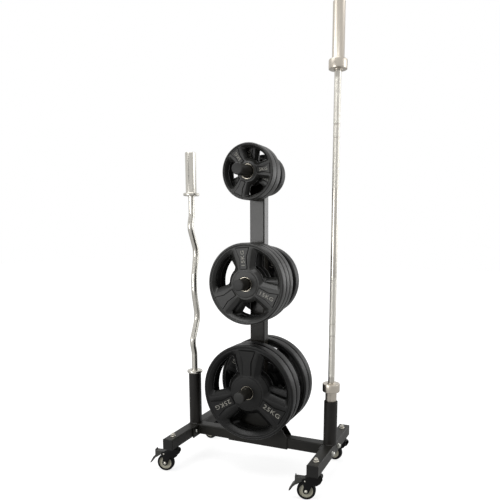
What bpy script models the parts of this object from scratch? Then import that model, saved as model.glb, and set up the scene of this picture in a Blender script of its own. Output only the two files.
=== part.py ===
"""Weight plate tree: a wheeled steel stand with six plate horns and two bar posts.

Metres, +Z up. The front faces -Y, the bars stand at -X and +X, the floor is Z = 0.
The crossbeam joins two side rails on casters, and the upright stands on it with
three levels of horns that point forward and back. Rubber plates hang on the horns,
a straight bar stands in the right post and a curl bar in the left one.
"""
import math

import bmesh
import bpy
from mathutils import Matrix

# Clearance left between two pieces that touch on the real object
GAP = 0.0003

# Casters: the wheel, the fork that holds it with room above the tyre, and the race that it turns on
WHEEL_RADIUS = 0.040
WHEEL_TRAIL = 0.038
TYRE_INNER = 0.0295
TYRE_HALF = 0.0125
HUB_HALF = 0.0135
FORK_ROOM = 0.028
FORK_SHEET = 0.003
FORK_HALF = 0.0175
FORK_EYE = 0.0125
FORK_REACH = 0.030
FORK_TOP = 2 * WHEEL_RADIUS + FORK_ROOM + FORK_SHEET
RACE_HEIGHT = 0.008
RACE_RADIUS = 0.0245
STEM_RADIUS = 0.006
STEM_BUTTON = 0.010
AXLE_RADIUS = 0.004
AXLE_HEAD = 0.0072
AXLE_BORE = AXLE_RADIUS + 0.00013
NUT_RADIUS = 0.0105
WASHER_RADIUS = 0.0125
WASHER = 0.0022
NUT_HEIGHT = 0.0105
STEM_OVER = 0.015

# Brake pedal of the two front casters, about its pivot, which lies beside and above the axle
PEDAL_SETBACK = 0.043
PEDAL_PIN_OVER_TYRE = 0.0045
PEDAL_PIN = 0.0025
PEDAL_HALF = 0.0135
PEDAL_TIP = 0.069
PEDAL_SIDE = ((0.0065, -0.0025), (0.0065, 0.0115), (-0.0385, 0.0130), (-0.0395, 0.0190), (-0.0425, 0.0190),
              (-0.0430, -0.0100), (-0.0530, -0.0190), (-PEDAL_TIP, -0.0470), (-0.0660, -0.0495), (-0.0600, -0.0440),
              (-0.0500, -0.0290), (-0.0400, -0.0205), (-0.0310, -0.0158), (-0.0220, -0.0090), (-0.0120, -0.0040))

# Each caster has come to rest turned outwards about its stem, so its wheel trails left and away from the crossbeam
CASTER_TURN = math.radians(12.5)

# Base: two square rails on the casters, and the spacing of their centres
CASTER_HEIGHT = FORK_TOP + RACE_HEIGHT
RAIL = 0.050
RAIL_WALL = 0.0025
RAIL_CORNER = 0.005
RAIL_LENGTH = 0.506
RAIL_CAP = 0.004
RAIL_PLUG = 0.0135
RAIL_X = 0.346
RAIL_TOP = CASTER_HEIGHT + RAIL
STEM_INSET = 0.049
STEM_Y = RAIL_LENGTH / 2 - STEM_INSET

# Crossbeam end plates, bolted to the inner sides of the rails
END_PLATE = 0.006
END_PLATE_LENGTH = 0.150
END_PLATE_HEIGHT = 0.052
END_PLATE_DROP = 0.004

# Folded bracket that holds the upright on the crossbeam
BRACKET_SHEET = 0.004
BRACKET_FOOT_HALF = 0.150
BRACKET_TOP_HALF = 0.040
BRACKET_SHOULDER = 0.001
BRACKET_RISE = 0.166
BRACKET_CORNER = 0.010

# Plates, their windows as shares of the radius with half angles at the rim and at the hub
PLATE_25_RADIUS = 0.217
PLATE_25_THICKNESS = 0.050
PLATE_15_RADIUS = 0.176
PLATE_15_THICKNESS = 0.040
PLATE_10_RADIUS = 0.158
PLATE_10_THICKNESS = 0.050
PLATE_5_RADIUS = 0.117
PLATE_5_THICKNESS = 0.045
PLATE_2_5_RADIUS = 0.090
PLATE_2_5_THICKNESS = 0.045
PLATE_SPACE = 0.0005
PLATE_EDGE = 0.004
WINDOW_HOLE = (0.455, 0.835, 36.0, 27.0)
WINDOW_MOUTH = (0.370, 0.915, 44.0, 39.0)

# Horns: one tube through the upright at each level, capped at both ends
HORN_RADIUS = 0.024
HORN_WALL = 0.003
HORN_REACH = 0.195
HORN_CAP = 0.004
HORN_PLUG = 0.014
PLATE_OVER_RAIL = 0.013
HORN_STEP_LOWER = 0.485
HORN_STEP_UPPER = 0.470
HORN_LOW = RAIL_TOP + PLATE_OVER_RAIL + PLATE_25_RADIUS
HORN_MIDDLE = HORN_LOW + HORN_STEP_LOWER
HORN_TOP = HORN_MIDDLE + HORN_STEP_UPPER
HORN_LEVELS = {"low": HORN_LOW, "middle": HORN_MIDDLE, "top": HORN_TOP}

# A plate's bore rests on its horn, so its centre hangs a little under the horn's
PLATE_DROP = 0.0012
PLATE_PLAY = 0.0006
PLATE_BORE = HORN_RADIUS + PLATE_DROP + PLATE_PLAY

# Where each stack starts from the upright, and how far its plates are turned: the angle of the first spoke
STACK_25_FRONT = 0.012
STACK_25_REAR = 0.008
STACK_15_FRONT = 0.006
STACK_10_REAR = 0.023
STACK_5_FRONT = 0.010
STACK_2_5_REAR = 0.018
STACKS = (
    ("25", "low", "front", ("inner", "outer"), PLATE_25_RADIUS, PLATE_25_THICKNESS, STACK_25_FRONT, (100.0, 90.0)),
    ("25", "low", "rear", ("inner", "outer"), PLATE_25_RADIUS, PLATE_25_THICKNESS, STACK_25_REAR, (28.0, 48.0)),
    ("15", "middle", "front", ("inner", "middle", "outer"), PLATE_15_RADIUS, PLATE_15_THICKNESS, STACK_15_FRONT,
     (97.0, 107.0, 95.0)),
    ("10", "middle", "rear", ("",), PLATE_10_RADIUS, PLATE_10_THICKNESS, STACK_10_REAR, (60.0,)),
    ("5", "top", "front", ("inner", "outer"), PLATE_5_RADIUS, PLATE_5_THICKNESS, STACK_5_FRONT, (97.0, 125.0)),
    ("2_5", "top", "rear", ("",), PLATE_2_5_RADIUS, PLATE_2_5_THICKNESS, STACK_2_5_REAR, (100.0,)),
)

# Upright, which ends a little above the top horn
UPRIGHT_WIDTH = 0.070
UPRIGHT_DEPTH = 0.050
UPRIGHT_WALL = 0.003
UPRIGHT_CORNER = 0.006
UPRIGHT_CAP = 0.004
UPRIGHT_PLUG = 0.0115
UPRIGHT_OVER_HORN = 0.060
UPRIGHT_TOP = HORN_TOP + UPRIGHT_OVER_HORN

# Posts for the bars
POST_RADIUS = 0.030
POST_WALL = 0.003
POST_LEFT_HEIGHT = 0.252
POST_RIGHT_HEIGHT = 0.197
POST_LEFT_FLOOR = 0.006
POST_RIGHT_FLOOR = 0.024

# Straight bar in the right post; both bars' sleeves turn on their shafts with a fine running gap
SLEEVE_RADIUS = 0.025
SLEEVE_EDGE = 0.002
SLEEVE_RUN = 0.00006
BAR_RADIUS = 0.014
BAR_RECESS = 0.004
BAR_SLEEVE = 0.215
BAR_COLLAR = 0.041
BAR_COLLAR_RADIUS = 0.038
BAR_GRIP = 1.295

# Curl bar in the left post
CURL_SLEEVE = 0.181
CURL_COLLAR = 0.016
CURL_COLLAR_RADIUS = 0.037
CURL_RUN = 0.00010
CURL_GRIP = 0.828
CURL_BEND_RADIUS = 0.030
CURL_BENDS = ((0.030, 0.010), (0.050, 0.012), (0.135, 0.031), (0.170, 0.031), (0.262, -0.012), (0.288, -0.012),
              (0.330, 0.000))

# The origin is on the floor at the middle of the whole stand, pedals included
PEDAL_REACH = (PEDAL_SETBACK + PEDAL_TIP) * math.cos(CASTER_TURN) + PEDAL_HALF * math.sin(CASTER_TURN)
SHIFT_X = (PEDAL_REACH - BAR_COLLAR_RADIUS) / 2

ROUND = 24
PARTS = "weight_plate_tree"
CUTTERS = "cutters"


def clear_scene():
    for obj in list(bpy.data.objects):
        bpy.data.objects.remove(obj, do_unlink=True)


def collection(name):
    found = bpy.data.collections.get(name)
    if found is None:
        found = bpy.data.collections.new(name)
        bpy.context.scene.collection.children.link(found)
    return found


def material(name, color, roughness, metallic):
    mat = bpy.data.materials.new(name)
    mat.use_nodes = True
    shader = mat.node_tree.nodes["Principled BSDF"]
    shader.inputs["Base Color"].default_value = (*color, 1.0)
    shader.inputs["Roughness"].default_value = roughness
    shader.inputs["Metallic"].default_value = metallic
    return mat


def finish(obj, look, location=(0.0, 0.0, 0.0), rotation=(0.0, 0.0, 0.0), parent=None):
    """Gives a part its own material, its place and its parent."""
    obj.data.materials.clear()
    obj.data.materials.append(material(obj.name, *look))
    obj.location = location
    obj.rotation_euler = rotation
    obj.parent = parent
    if obj.type == "MESH":
        obj.data.shade_smooth()
        obj.data.set_sharp_from_angle(angle=math.radians(35))
    return obj


def new_object(name, data, group=PARTS):
    obj = bpy.data.objects.new(name, data)
    collection(group).objects.link(obj)
    return obj


def rounded_loop(points, radii, steps=3):
    """Outline with an arc of the given radius in place of each corner."""
    out = []
    count = len(points)
    for i, (x, y) in enumerate(points):
        radius = radii[i] if isinstance(radii, (list, tuple)) else radii
        ax, ay = points[i - 1][0] - x, points[i - 1][1] - y
        bx, by = points[(i + 1) % count][0] - x, points[(i + 1) % count][1] - y
        la, lb = math.hypot(ax, ay), math.hypot(bx, by)
        ax, ay, bx, by = ax / la, ay / la, bx / lb, by / lb
        if radius <= 0 or math.hypot(ax + bx, ay + by) < 1e-6:
            out.append((x, y))
            continue
        half = math.acos(max(-1.0, min(1.0, ax * bx + ay * by))) / 2
        reach = min(radius / math.tan(half), 0.48 * la, 0.48 * lb)
        arc = reach * math.tan(half)
        mx, my = ax + bx, ay + by
        length = math.hypot(mx, my)
        cx, cy = x + mx / length * arc / math.sin(half), y + my / length * arc / math.sin(half)
        start = math.atan2(y + ay * reach - cy, x + ax * reach - cx)
        turn = math.atan2(y + by * reach - cy, x + bx * reach - cx) - start
        turn = (turn + math.pi) % (2 * math.pi) - math.pi
        for k in range(steps + 1):
            angle = start + turn * k / steps
            out.append((cx + arc * math.cos(angle), cy + arc * math.sin(angle)))
    return out


def rectangle(width, depth, radius, steps=3):
    x, y = width / 2, depth / 2
    corners = [(-x, -y), (x, -y), (x, y), (-x, y)]
    return rounded_loop(corners, radius, steps) if radius > 0 else corners


def circle(radius, count, center=(0.0, 0.0)):
    return [(center[0] + radius * math.cos(2 * math.pi * k / count),
             center[1] + radius * math.sin(2 * math.pi * k / count)) for k in range(count)]


def solid_outline(name, loops, thickness, group=PARTS):
    """Flat outline with holes, given a thickness along Z and welded to one mesh."""
    curve = bpy.data.curves.new(name + "_outline", "CURVE")
    curve.dimensions = "2D"
    curve.fill_mode = "BOTH"
    curve.extrude = thickness / 2
    for loop in loops:
        spline = curve.splines.new("POLY")
        spline.points.add(len(loop) - 1)
        for point, (x, y) in zip(spline.points, loop):
            point.co = (x, y, 0.0, 1.0)
        spline.use_cyclic_u = True
    source = new_object(name + "_outline", curve, CUTTERS)
    bpy.context.view_layer.update()
    evaluated = source.evaluated_get(bpy.context.evaluated_depsgraph_get())
    mesh = bpy.data.meshes.new_from_object(evaluated)
    bpy.data.objects.remove(source, do_unlink=True)
    mesh.name = name
    bm = bmesh.new()
    bm.from_mesh(mesh)
    bmesh.ops.remove_doubles(bm, verts=bm.verts, dist=1e-6)
    bmesh.ops.recalc_face_normals(bm, faces=bm.faces)
    bm.to_mesh(mesh)
    bm.free()
    return new_object(name, mesh, group)


def turned(name, profile, steps=ROUND, closed=False, group=PARTS):
    """Profile of (radius, height) points, outer side first from top to bottom, turned about Z."""
    mesh = bpy.data.meshes.new(name)
    edges = [(i, i + 1) for i in range(len(profile) - 1)]
    if closed:
        edges.append((len(profile) - 1, 0))
    mesh.from_pydata([(r, 0.0, z) for r, z in profile], edges, [])
    obj = new_object(name, mesh, group)
    screw = obj.modifiers.new("turn", "SCREW")
    screw.steps = steps
    screw.render_steps = steps
    screw.use_merge_vertices = True
    screw.merge_threshold = 0.00001
    screw.use_normal_calculate = False
    return obj


def box(name, size, center, group=CUTTERS):
    mesh = bpy.data.meshes.new(name)
    bm = bmesh.new()
    bmesh.ops.create_cube(bm, size=1.0)
    bmesh.ops.scale(bm, vec=size, verts=bm.verts)
    bmesh.ops.translate(bm, vec=center, verts=bm.verts)
    bm.to_mesh(mesh)
    bm.free()
    return new_object(name, mesh, group)


def rod(name, radius, length, center, axis, steps=ROUND, group=CUTTERS):
    """Plain cylinder along X, Y or Z, centred where given."""
    turns = {"X": Matrix.Rotation(math.pi / 2, 3, "Y"), "Y": Matrix.Rotation(math.pi / 2, 3, "X"),
             "Z": Matrix.Identity(3)}
    mesh = bpy.data.meshes.new(name)
    bm = bmesh.new()
    bmesh.ops.create_cone(bm, cap_ends=True, segments=steps, radius1=radius, radius2=radius, depth=length)
    bmesh.ops.rotate(bm, cent=(0, 0, 0), matrix=turns[axis], verts=bm.verts)
    bmesh.ops.translate(bm, vec=center, verts=bm.verts)
    bm.to_mesh(mesh)
    bm.free()
    return new_object(name, mesh, group)


def combine(obj, tool, operation):
    tool.hide_render = True
    tool.display_type = "WIRE"
    if tool.parent is None:
        tool.parent = obj
    step = obj.modifiers.new(tool.name, "BOOLEAN")
    step.operation = operation
    step.object = tool
    step.solver = "EXACT"


BLACK_COAT = ((0.030, 0.030, 0.032), 0.45, 0.0)
BLACK_PLASTIC = ((0.022, 0.022, 0.024), 0.55, 0.0)
BLACK_RUBBER = ((0.035, 0.035, 0.038), 0.70, 0.0)
ZINC = ((0.72, 0.72, 0.70), 0.30, 1.0)
BLACK_ZINC = ((0.028, 0.028, 0.030), 0.35, 0.6)
CHROME = ((0.80, 0.79, 0.76), 0.12, 1.0)
WHEEL_GREY = ((0.46, 0.45, 0.40), 0.50, 0.0)
TYRE_BLACK = ((0.020, 0.020, 0.021), 0.75, 0.0)

UPSIDE = (math.pi / 2, 0.0, 0.0)
ALONG_X = (math.pi / 2, 0.0, math.pi / 2)
SIDES = {"left": -RAIL_X, "right": RAIL_X}
ENDS = {"front": -1, "rear": 1}


def make_rails(tree):
    """Two square tubes along Y with a plastic cap pushed into each end."""
    tube = RAIL_LENGTH - 2 * RAIL_CAP - 2 * GAP
    inside = RAIL - 2 * RAIL_WALL
    for side, x in SIDES.items():
        rail = solid_outline(f"rail_{side}", [rectangle(RAIL, RAIL, RAIL_CORNER, 2), rectangle(inside, inside, 0.0)], tube)
        for end, sign in ENDS.items():
            hole = rod(f"cut_rail_{side}_{end}", STEM_RADIUS + 2 * GAP, 2 * RAIL, (0, 0, 0), "Z", 16)
            hole.rotation_euler = (-math.pi / 2, 0, 0)
            hole.location = (0, 0, -sign * STEM_Y)
            combine(rail, hole, "DIFFERENCE")
            cap = solid_outline(f"rail_cap_{end}_{side}", [rectangle(RAIL, RAIL, RAIL_CORNER, 2)], RAIL_CAP)
            plug = box(f"join_rail_cap_{end}_{side}", (inside - 2 * GAP, inside - 2 * GAP, RAIL_PLUG + RAIL_CAP / 2),
                       (0, 0, -(RAIL_PLUG + RAIL_CAP / 2) / 2))
            combine(cap, plug, "UNION")
            facing = (-math.pi / 2 if sign > 0 else math.pi / 2, 0.0, 0.0)
            finish(cap, BLACK_PLASTIC, (x, sign * (RAIL_LENGTH - RAIL_CAP) / 2, CASTER_HEIGHT + RAIL / 2),
                   facing, tree)
        finish(rail, BLACK_COAT, (x, 0, CASTER_HEIGHT + RAIL / 2), UPSIDE, tree)


def make_crossbeam(tree):
    """Square tube along X with a welded plate at each end, open through the plates."""
    reach = RAIL_X - RAIL / 2 - GAP
    inside = RAIL - 2 * RAIL_WALL
    hollow = rectangle(inside, inside, 0.0)
    beam = solid_outline("crossbeam", [rectangle(RAIL, RAIL, RAIL_CORNER, 2), hollow], 2 * (reach - END_PLATE / 2))
    drop = (END_PLATE_HEIGHT - RAIL) / 2 - END_PLATE_DROP
    for side, sign in (("left", -1), ("right", 1)):
        outline = [(x, y + drop) for x, y in rectangle(END_PLATE_LENGTH, END_PLATE_HEIGHT, 0.006, 2)]
        plate = solid_outline(f"join_end_plate_{side}", [outline, hollow], END_PLATE, CUTTERS)
        plate.location = (0, 0, sign * (reach - END_PLATE / 2))
        combine(beam, plate, "UNION")
    finish(beam, BLACK_COAT, (0, 0, CASTER_HEIGHT + RAIL / 2), ALONG_X, tree)


def make_bracket(tree):
    """Folded sheet bracket: two trapezoid cheeks joined under the crossbeam."""
    low = CASTER_HEIGHT - GAP - BRACKET_SHEET
    outer = RAIL / 2 + GAP + BRACKET_SHEET
    shoulder, top = RAIL_TOP + BRACKET_SHOULDER, RAIL_TOP + BRACKET_RISE
    cheek = [(-BRACKET_FOOT_HALF, low), (BRACKET_FOOT_HALF, low), (BRACKET_FOOT_HALF, shoulder),
             (BRACKET_TOP_HALF, top), (-BRACKET_TOP_HALF, top), (-BRACKET_FOOT_HALF, shoulder)]
    outline = rounded_loop(cheek, [0.003, 0.003] + [BRACKET_CORNER] * 4, 3)
    bracket = solid_outline("base_bracket", [outline], 2 * outer)
    room = box("cut_base_bracket", (3 * BRACKET_FOOT_HALF, top, 2 * (RAIL / 2 + GAP)),
               (0, CASTER_HEIGHT - GAP + top / 2, 0))
    combine(bracket, room, "DIFFERENCE")
    finish(bracket, BLACK_COAT, (0, 0, 0), UPSIDE, tree)


def make_upright(tree):
    """Rectangular tube with a hole front and back for each horn, closed by a cap."""
    low = RAIL_TOP + GAP
    high = UPRIGHT_TOP - UPRIGHT_CAP
    inside = (UPRIGHT_WIDTH - 2 * UPRIGHT_WALL, UPRIGHT_DEPTH - 2 * UPRIGHT_WALL)
    loops = [rectangle(UPRIGHT_WIDTH, UPRIGHT_DEPTH, UPRIGHT_CORNER, 2), rectangle(*inside, 0.0)]
    upright = solid_outline("upright", loops, high - low)
    middle = (high + low) / 2
    for level, height in HORN_LEVELS.items():
        combine(upright, rod(f"cut_upright_{level}", HORN_RADIUS + GAP, 3 * UPRIGHT_DEPTH, (0, 0, height - middle), "Y"),
                "DIFFERENCE")
    finish(upright, BLACK_COAT, (0, 0, middle), parent=tree)
    cap = solid_outline("upright_cap", [rectangle(UPRIGHT_WIDTH, UPRIGHT_DEPTH, UPRIGHT_CORNER, 2)], UPRIGHT_CAP - GAP)
    plug = box("join_upright_cap", (inside[0] - 2 * GAP, inside[1] - 2 * GAP, UPRIGHT_PLUG + UPRIGHT_CAP / 2),
               (0, 0, -(UPRIGHT_PLUG + UPRIGHT_CAP / 2) / 2))
    combine(cap, plug, "UNION")
    finish(cap, BLACK_PLASTIC, (0, 0, UPRIGHT_TOP - (UPRIGHT_CAP - GAP) / 2), parent=tree)


def make_horns(tree):
    """One tube through the upright at each level, with a plastic plug in each end."""
    half = UPRIGHT_DEPTH / 2 + HORN_REACH - HORN_CAP - GAP
    bore = HORN_RADIUS - HORN_WALL
    tube = [(HORN_RADIUS, half), (HORN_RADIUS, -half), (bore, -half), (bore, half)]
    plug = bore - GAP
    cap = [(0, HORN_CAP), (HORN_RADIUS - 0.002, HORN_CAP), (HORN_RADIUS, HORN_CAP - 0.0015), (HORN_RADIUS, 0),
           (plug, 0), (plug, -HORN_PLUG), (0, -HORN_PLUG)]
    for level, height in HORN_LEVELS.items():
        finish(turned(f"horn_{level}", tube, closed=True), BLACK_COAT, (0, 0, height), UPSIDE, tree)
        for end, sign in ENDS.items():
            facing = (-sign * math.pi / 2, 0.0, 0.0)
            finish(turned(f"horn_cap_{level}_{end}", cap), BLACK_PLASTIC, (0, sign * (half + GAP), height),
                   facing, tree)


def make_posts(tree):
    """Two round posts, open at the top, with a floor that carries the bar's end."""
    heights = {"left": (POST_LEFT_HEIGHT, POST_LEFT_FLOOR), "right": (POST_RIGHT_HEIGHT, POST_RIGHT_FLOOR)}
    for side, (height, floor) in heights.items():
        bore = POST_RADIUS - POST_WALL
        profile = [(0, floor), (bore, floor), (bore, height), (POST_RADIUS, height), (POST_RADIUS, 0), (0, 0)]
        finish(turned(f"post_{side}", profile), BLACK_COAT, (SIDES[side], 0, RAIL_TOP + GAP), parent=tree)


def window_loop(shares, radius, middle, scale=1.0):
    """Outline of one grip window between two arcs about the plate's centre."""
    near, far, far_angle, near_angle = shares
    far_angle, near_angle = math.radians(far_angle), math.radians(near_angle)
    points = [(far * radius * math.cos(middle + far_angle * k / 2),
               far * radius * math.sin(middle + far_angle * k / 2)) for k in range(-2, 3)]
    points += [(near * radius * math.cos(middle - near_angle * k),
                near * radius * math.sin(middle - near_angle * k)) for k in (-1, 0, 1)]
    corner = 0.09 * radius
    loop = rounded_loop(points, [corner, 0, 0, 0, corner, corner, 0, corner], 1)
    cx = sum(x for x, y in loop) / len(loop)
    cy = sum(y for x, y in loop) / len(loop)
    return [(cx + (x - cx) * scale, cy + (y - cy) * scale) for x, y in loop]


def window_cutter(name, radius, thickness, middle):
    """Solid that cuts one window, narrow at half depth and wide at both faces."""
    beyond = thickness / 2 + 0.002
    mouth = window_loop(WINDOW_MOUTH, radius, middle, 1.02)
    hole = window_loop(WINDOW_HOLE, radius, middle)
    bm = bmesh.new()
    rings = [[bm.verts.new((x, y, z)) for x, y in loop]
             for loop, z in ((mouth, -beyond), (hole, 0.0), (mouth, beyond))]
    for lower, upper in zip(rings, rings[1:]):
        for k in range(len(lower)):
            following = (k + 1) % len(lower)
            bm.faces.new((lower[k], lower[following], upper[following], upper[k]))
    bm.faces.new(list(reversed(rings[0])))
    bm.faces.new(rings[-1])
    bmesh.ops.recalc_face_normals(bm, faces=bm.faces)
    mesh = bpy.data.meshes.new(name)
    bm.to_mesh(mesh)
    bm.free()
    return new_object(name, mesh, CUTTERS)


def plate_mesh(size, radius, thickness, spoke):
    """Mesh of one size of plate with its bore, rim chamfers and three windows."""
    disc = solid_outline(f"plate_{size}", [circle(radius, 36), circle(PLATE_BORE, 20)], thickness, CUTTERS)
    soften_rim(disc.data, radius)
    cutters = [window_cutter(f"cut_window_{size}_{k}", radius, thickness, math.radians(spoke + 60 + 120 * k))
               for k in range(3)]
    for cutter in cutters:
        combine(disc, cutter, "DIFFERENCE")
    bpy.context.view_layer.update()
    evaluated = disc.evaluated_get(bpy.context.evaluated_depsgraph_get())
    mesh = bpy.data.meshes.new_from_object(evaluated)
    for obj in (*cutters, disc):
        bpy.data.objects.remove(obj, do_unlink=True)
    bm = bmesh.new()
    bm.from_mesh(mesh)
    bmesh.ops.dissolve_limit(bm, angle_limit=math.radians(0.5), verts=bm.verts, edges=bm.edges)
    bmesh.ops.triangulate(bm, faces=bm.faces)
    bm.to_mesh(mesh)
    bm.free()
    return mesh


def make_plates(tree):
    """Rubber plates with three grip windows, hanging on the horns in stacks."""
    for size, level, end, places, radius, thickness, start, spokes in STACKS:
        for k, (place, spoke) in enumerate(zip(places, spokes)):
            name = f"plate_{size}_{end}_{place}".rstrip("_")
            step = UPRIGHT_DEPTH / 2 + start + thickness / 2 + k * (thickness + PLATE_SPACE)
            finish(new_object(name, plate_mesh(size, radius, thickness, spoke)), BLACK_RUBBER,
                   (0, ENDS[end] * step, HORN_LEVELS[level] - PLATE_DROP), UPSIDE, tree)


def soften_rim(mesh, radius):
    """Chamfers the two outer edges of a plate."""
    bm = bmesh.new()
    bm.from_mesh(mesh)
    rim = [edge for edge in bm.edges
           if all(vert.co.xy.length > radius - 0.0005 for vert in edge.verts) and edge.calc_face_angle(0.0) > 1.0]
    bmesh.ops.bevel(bm, geom=rim, offset=PLATE_EDGE, segments=1, affect="EDGES")
    bm.to_mesh(mesh)
    bm.free()


def fork_outline():
    """Side view of a caster fork about its stem, at real heights above the floor."""
    axle = (-WHEEL_TRAIL, WHEEL_RADIUS)
    points = [(-0.0215, FORK_TOP), (0.0270, FORK_TOP), (FORK_REACH, FORK_TOP - 0.0090), (FORK_REACH, FORK_TOP - 0.0160),
              (0.0215, FORK_TOP - 0.0325), (axle[0] + 0.0340, axle[1] + 0.0195)]
    for degrees in (-25, -70, -115, -160):
        angle = math.radians(degrees)
        points.append((axle[0] + FORK_EYE * math.cos(angle), axle[1] + FORK_EYE * math.sin(angle)))
    points += [(axle[0] - FORK_EYE, axle[1] + 0.0025), (axle[0] - 0.0095, axle[1] + 0.0200),
               (axle[0] - 0.0120, FORK_TOP - 0.0390), (axle[0] - 0.0180, FORK_TOP - 0.0320),
               (axle[0] - 0.0180, FORK_TOP - 0.0110)]
    return points


def behind(stem, turn, distance, height):
    """Point at a distance behind a caster's stem, on the side to which the caster is turned."""
    return stem[0] - distance * math.cos(turn), stem[1] - distance * math.sin(turn), height


def make_casters(tree):
    """Four swivel casters trailing to the left; the front two carry a brake pedal."""
    axle = (-WHEEL_TRAIL, WHEEL_RADIUS)
    pivot = (-PEDAL_SETBACK, 2 * WHEEL_RADIUS + PEDAL_PIN_OVER_TYRE)
    low_head = FORK_TOP - FORK_SHEET - GAP
    race = FORK_TOP + GAP
    nut = RAIL_TOP + GAP
    stem_profile = [(0, nut + STEM_OVER), (STEM_RADIUS - 0.0008, nut + STEM_OVER), (STEM_RADIUS, nut + STEM_OVER - 0.0008),
                    (STEM_RADIUS, nut + NUT_HEIGHT + 0.0005), (NUT_RADIUS, nut + NUT_HEIGHT), (NUT_RADIUS, nut + WASHER),
                    (WASHER_RADIUS, nut + WASHER), (WASHER_RADIUS, nut), (STEM_RADIUS, nut),
                    (STEM_RADIUS, CASTER_HEIGHT - GAP), (RACE_RADIUS, CASTER_HEIGHT - GAP), (RACE_RADIUS, race),
                    (STEM_RADIUS, race), (STEM_RADIUS, low_head), (STEM_BUTTON, low_head), (STEM_BUTTON, low_head - 0.005),
                    (0, low_head - 0.005)]
    axle_end = FORK_HALF + GAP
    axle_profile = [(0, axle_end + 0.0055), (0.0045, axle_end + 0.0055), (AXLE_HEAD, axle_end + 0.004),
                    (AXLE_HEAD, axle_end), (AXLE_RADIUS, axle_end), (AXLE_RADIUS, -axle_end), (AXLE_HEAD, -axle_end),
                    (AXLE_HEAD, -axle_end - 0.004), (0.0045, -axle_end - 0.0055), (0, -axle_end - 0.0055)]
    rim = TYRE_INNER - 0.0005
    wheel_profile = [(0.0100, HUB_HALF), (0.0110, 0.0060), (rim - 0.0020, 0.0060), (rim, TYRE_HALF - 0.0015),
                     (rim, 0.0015 - TYRE_HALF), (rim - 0.0020, -0.0060), (0.0110, -0.0060), (0.0100, -HUB_HALF),
                     (AXLE_BORE, -HUB_HALF), (AXLE_BORE, HUB_HALF)]
    tyre_profile = [(WHEEL_RADIUS - 0.0025, TYRE_HALF), (WHEEL_RADIUS, TYRE_HALF - 0.005),
                    (WHEEL_RADIUS, -TYRE_HALF + 0.005), (WHEEL_RADIUS - 0.0025, -TYRE_HALF),
                    (TYRE_INNER, -TYRE_HALF + 0.001), (TYRE_INNER, TYRE_HALF - 0.001)]
    for end, sign in ENDS.items():
        for side, x in SIDES.items():
            name = f"{end}_{side}"
            y = sign * STEM_Y
            finish(turned(f"caster_stem_{name}", stem_profile, 12), ZINC, (x, y, 0), parent=tree)
            fork = solid_outline(f"caster_fork_{name}", [fork_outline()], 2 * FORK_HALF)
            inner = FORK_HALF - FORK_SHEET
            combine(fork, box(f"cut_fork_room_{name}", (0.2, 0.2, 2 * inner), (0, FORK_TOP - FORK_SHEET - 0.1, 0)),
                    "DIFFERENCE")
            combine(fork, rod(f"cut_fork_axle_{name}", AXLE_RADIUS + GAP, 0.1, (*axle, 0), "Z", 12), "DIFFERENCE")
            combine(fork, rod(f"cut_fork_pin_{name}", PEDAL_PIN + GAP, 0.1, (*pivot, 0), "Z", 12),
                    "DIFFERENCE")
            combine(fork, rod(f"cut_fork_stem_{name}", STEM_RADIUS + GAP, 0.03, (0, FORK_TOP, 0), "Y", 16),
                    "DIFFERENCE")
            turn = -sign * CASTER_TURN
            facing = (math.pi / 2, 0.0, turn)
            finish(fork, BLACK_ZINC, (x, y, 0), facing, tree)
            hub = behind((x, y), turn, WHEEL_TRAIL, WHEEL_RADIUS)
            finish(turned(f"caster_axle_{name}", axle_profile, 10), ZINC, hub, facing, tree)
            finish(turned(f"caster_wheel_{name}", wheel_profile, 16, True), WHEEL_GREY, hub, facing, tree)
            finish(turned(f"caster_tyre_{name}", tyre_profile, 28, True), TYRE_BLACK, hub, facing, tree)
            if sign < 0:
                make_pedal(tree, side, behind((x, y), turn, PEDAL_SETBACK, pivot[1]), facing)


def make_pedal(tree, side, place, facing):
    """Bent pedal that swings on its own pin between the fork's cheeks."""
    pedal = solid_outline(f"brake_pedal_{side}", [list(PEDAL_SIDE)], 2 * PEDAL_HALF)
    combine(pedal, rod(f"join_pedal_pin_{side}", PEDAL_PIN, 2 * FORK_HALF + 0.003, (0, 0, 0), "Z", 12), "UNION")
    finish(pedal, BLACK_ZINC, place, facing, tree)


def sleeve_profile(length, collar, collar_radius, bore):
    """Rotating sleeve with its collar at the top of the profile."""
    edge = SLEEVE_EDGE
    return [(collar_radius - edge, collar), (collar_radius, collar - edge), (collar_radius, edge),
            (collar_radius - edge, 0), (SLEEVE_RADIUS, 0), (SLEEVE_RADIUS, edge - length),
            (SLEEVE_RADIUS - edge, -length), (bore, -length), (bore, collar)]


def make_barbell(tree):
    """Straight bar standing in the right post, with a sleeve that turns at each end."""
    x = SIDES["right"]
    foot = RAIL_TOP + GAP + POST_RIGHT_FLOOR + GAP
    grip_low = foot + BAR_SLEEVE + BAR_COLLAR
    grip_high = grip_low + BAR_GRIP
    middle = (grip_low + grip_high) / 2
    reach = BAR_GRIP / 2 + BAR_COLLAR + BAR_SLEEVE - BAR_RECESS
    shaft = [(0, reach), (BAR_RADIUS - 0.001, reach), (BAR_RADIUS, reach - 0.001), (BAR_RADIUS, -reach + 0.001),
             (BAR_RADIUS - 0.001, -reach), (0, -reach)]
    finish(turned("barbell_shaft", shaft), CHROME, (x, 0, middle), parent=tree)
    bore = BAR_RADIUS / math.cos(math.pi / ROUND) + SLEEVE_RUN
    profile = sleeve_profile(BAR_SLEEVE, BAR_COLLAR, BAR_COLLAR_RADIUS, bore)
    finish(turned("barbell_sleeve_low", profile, closed=True), CHROME, (x, 0, grip_low - BAR_COLLAR), parent=tree)
    finish(turned("barbell_sleeve_top", profile, closed=True), CHROME, (x, 0, grip_high + BAR_COLLAR),
           (math.pi, 0, 0), tree)


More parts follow.
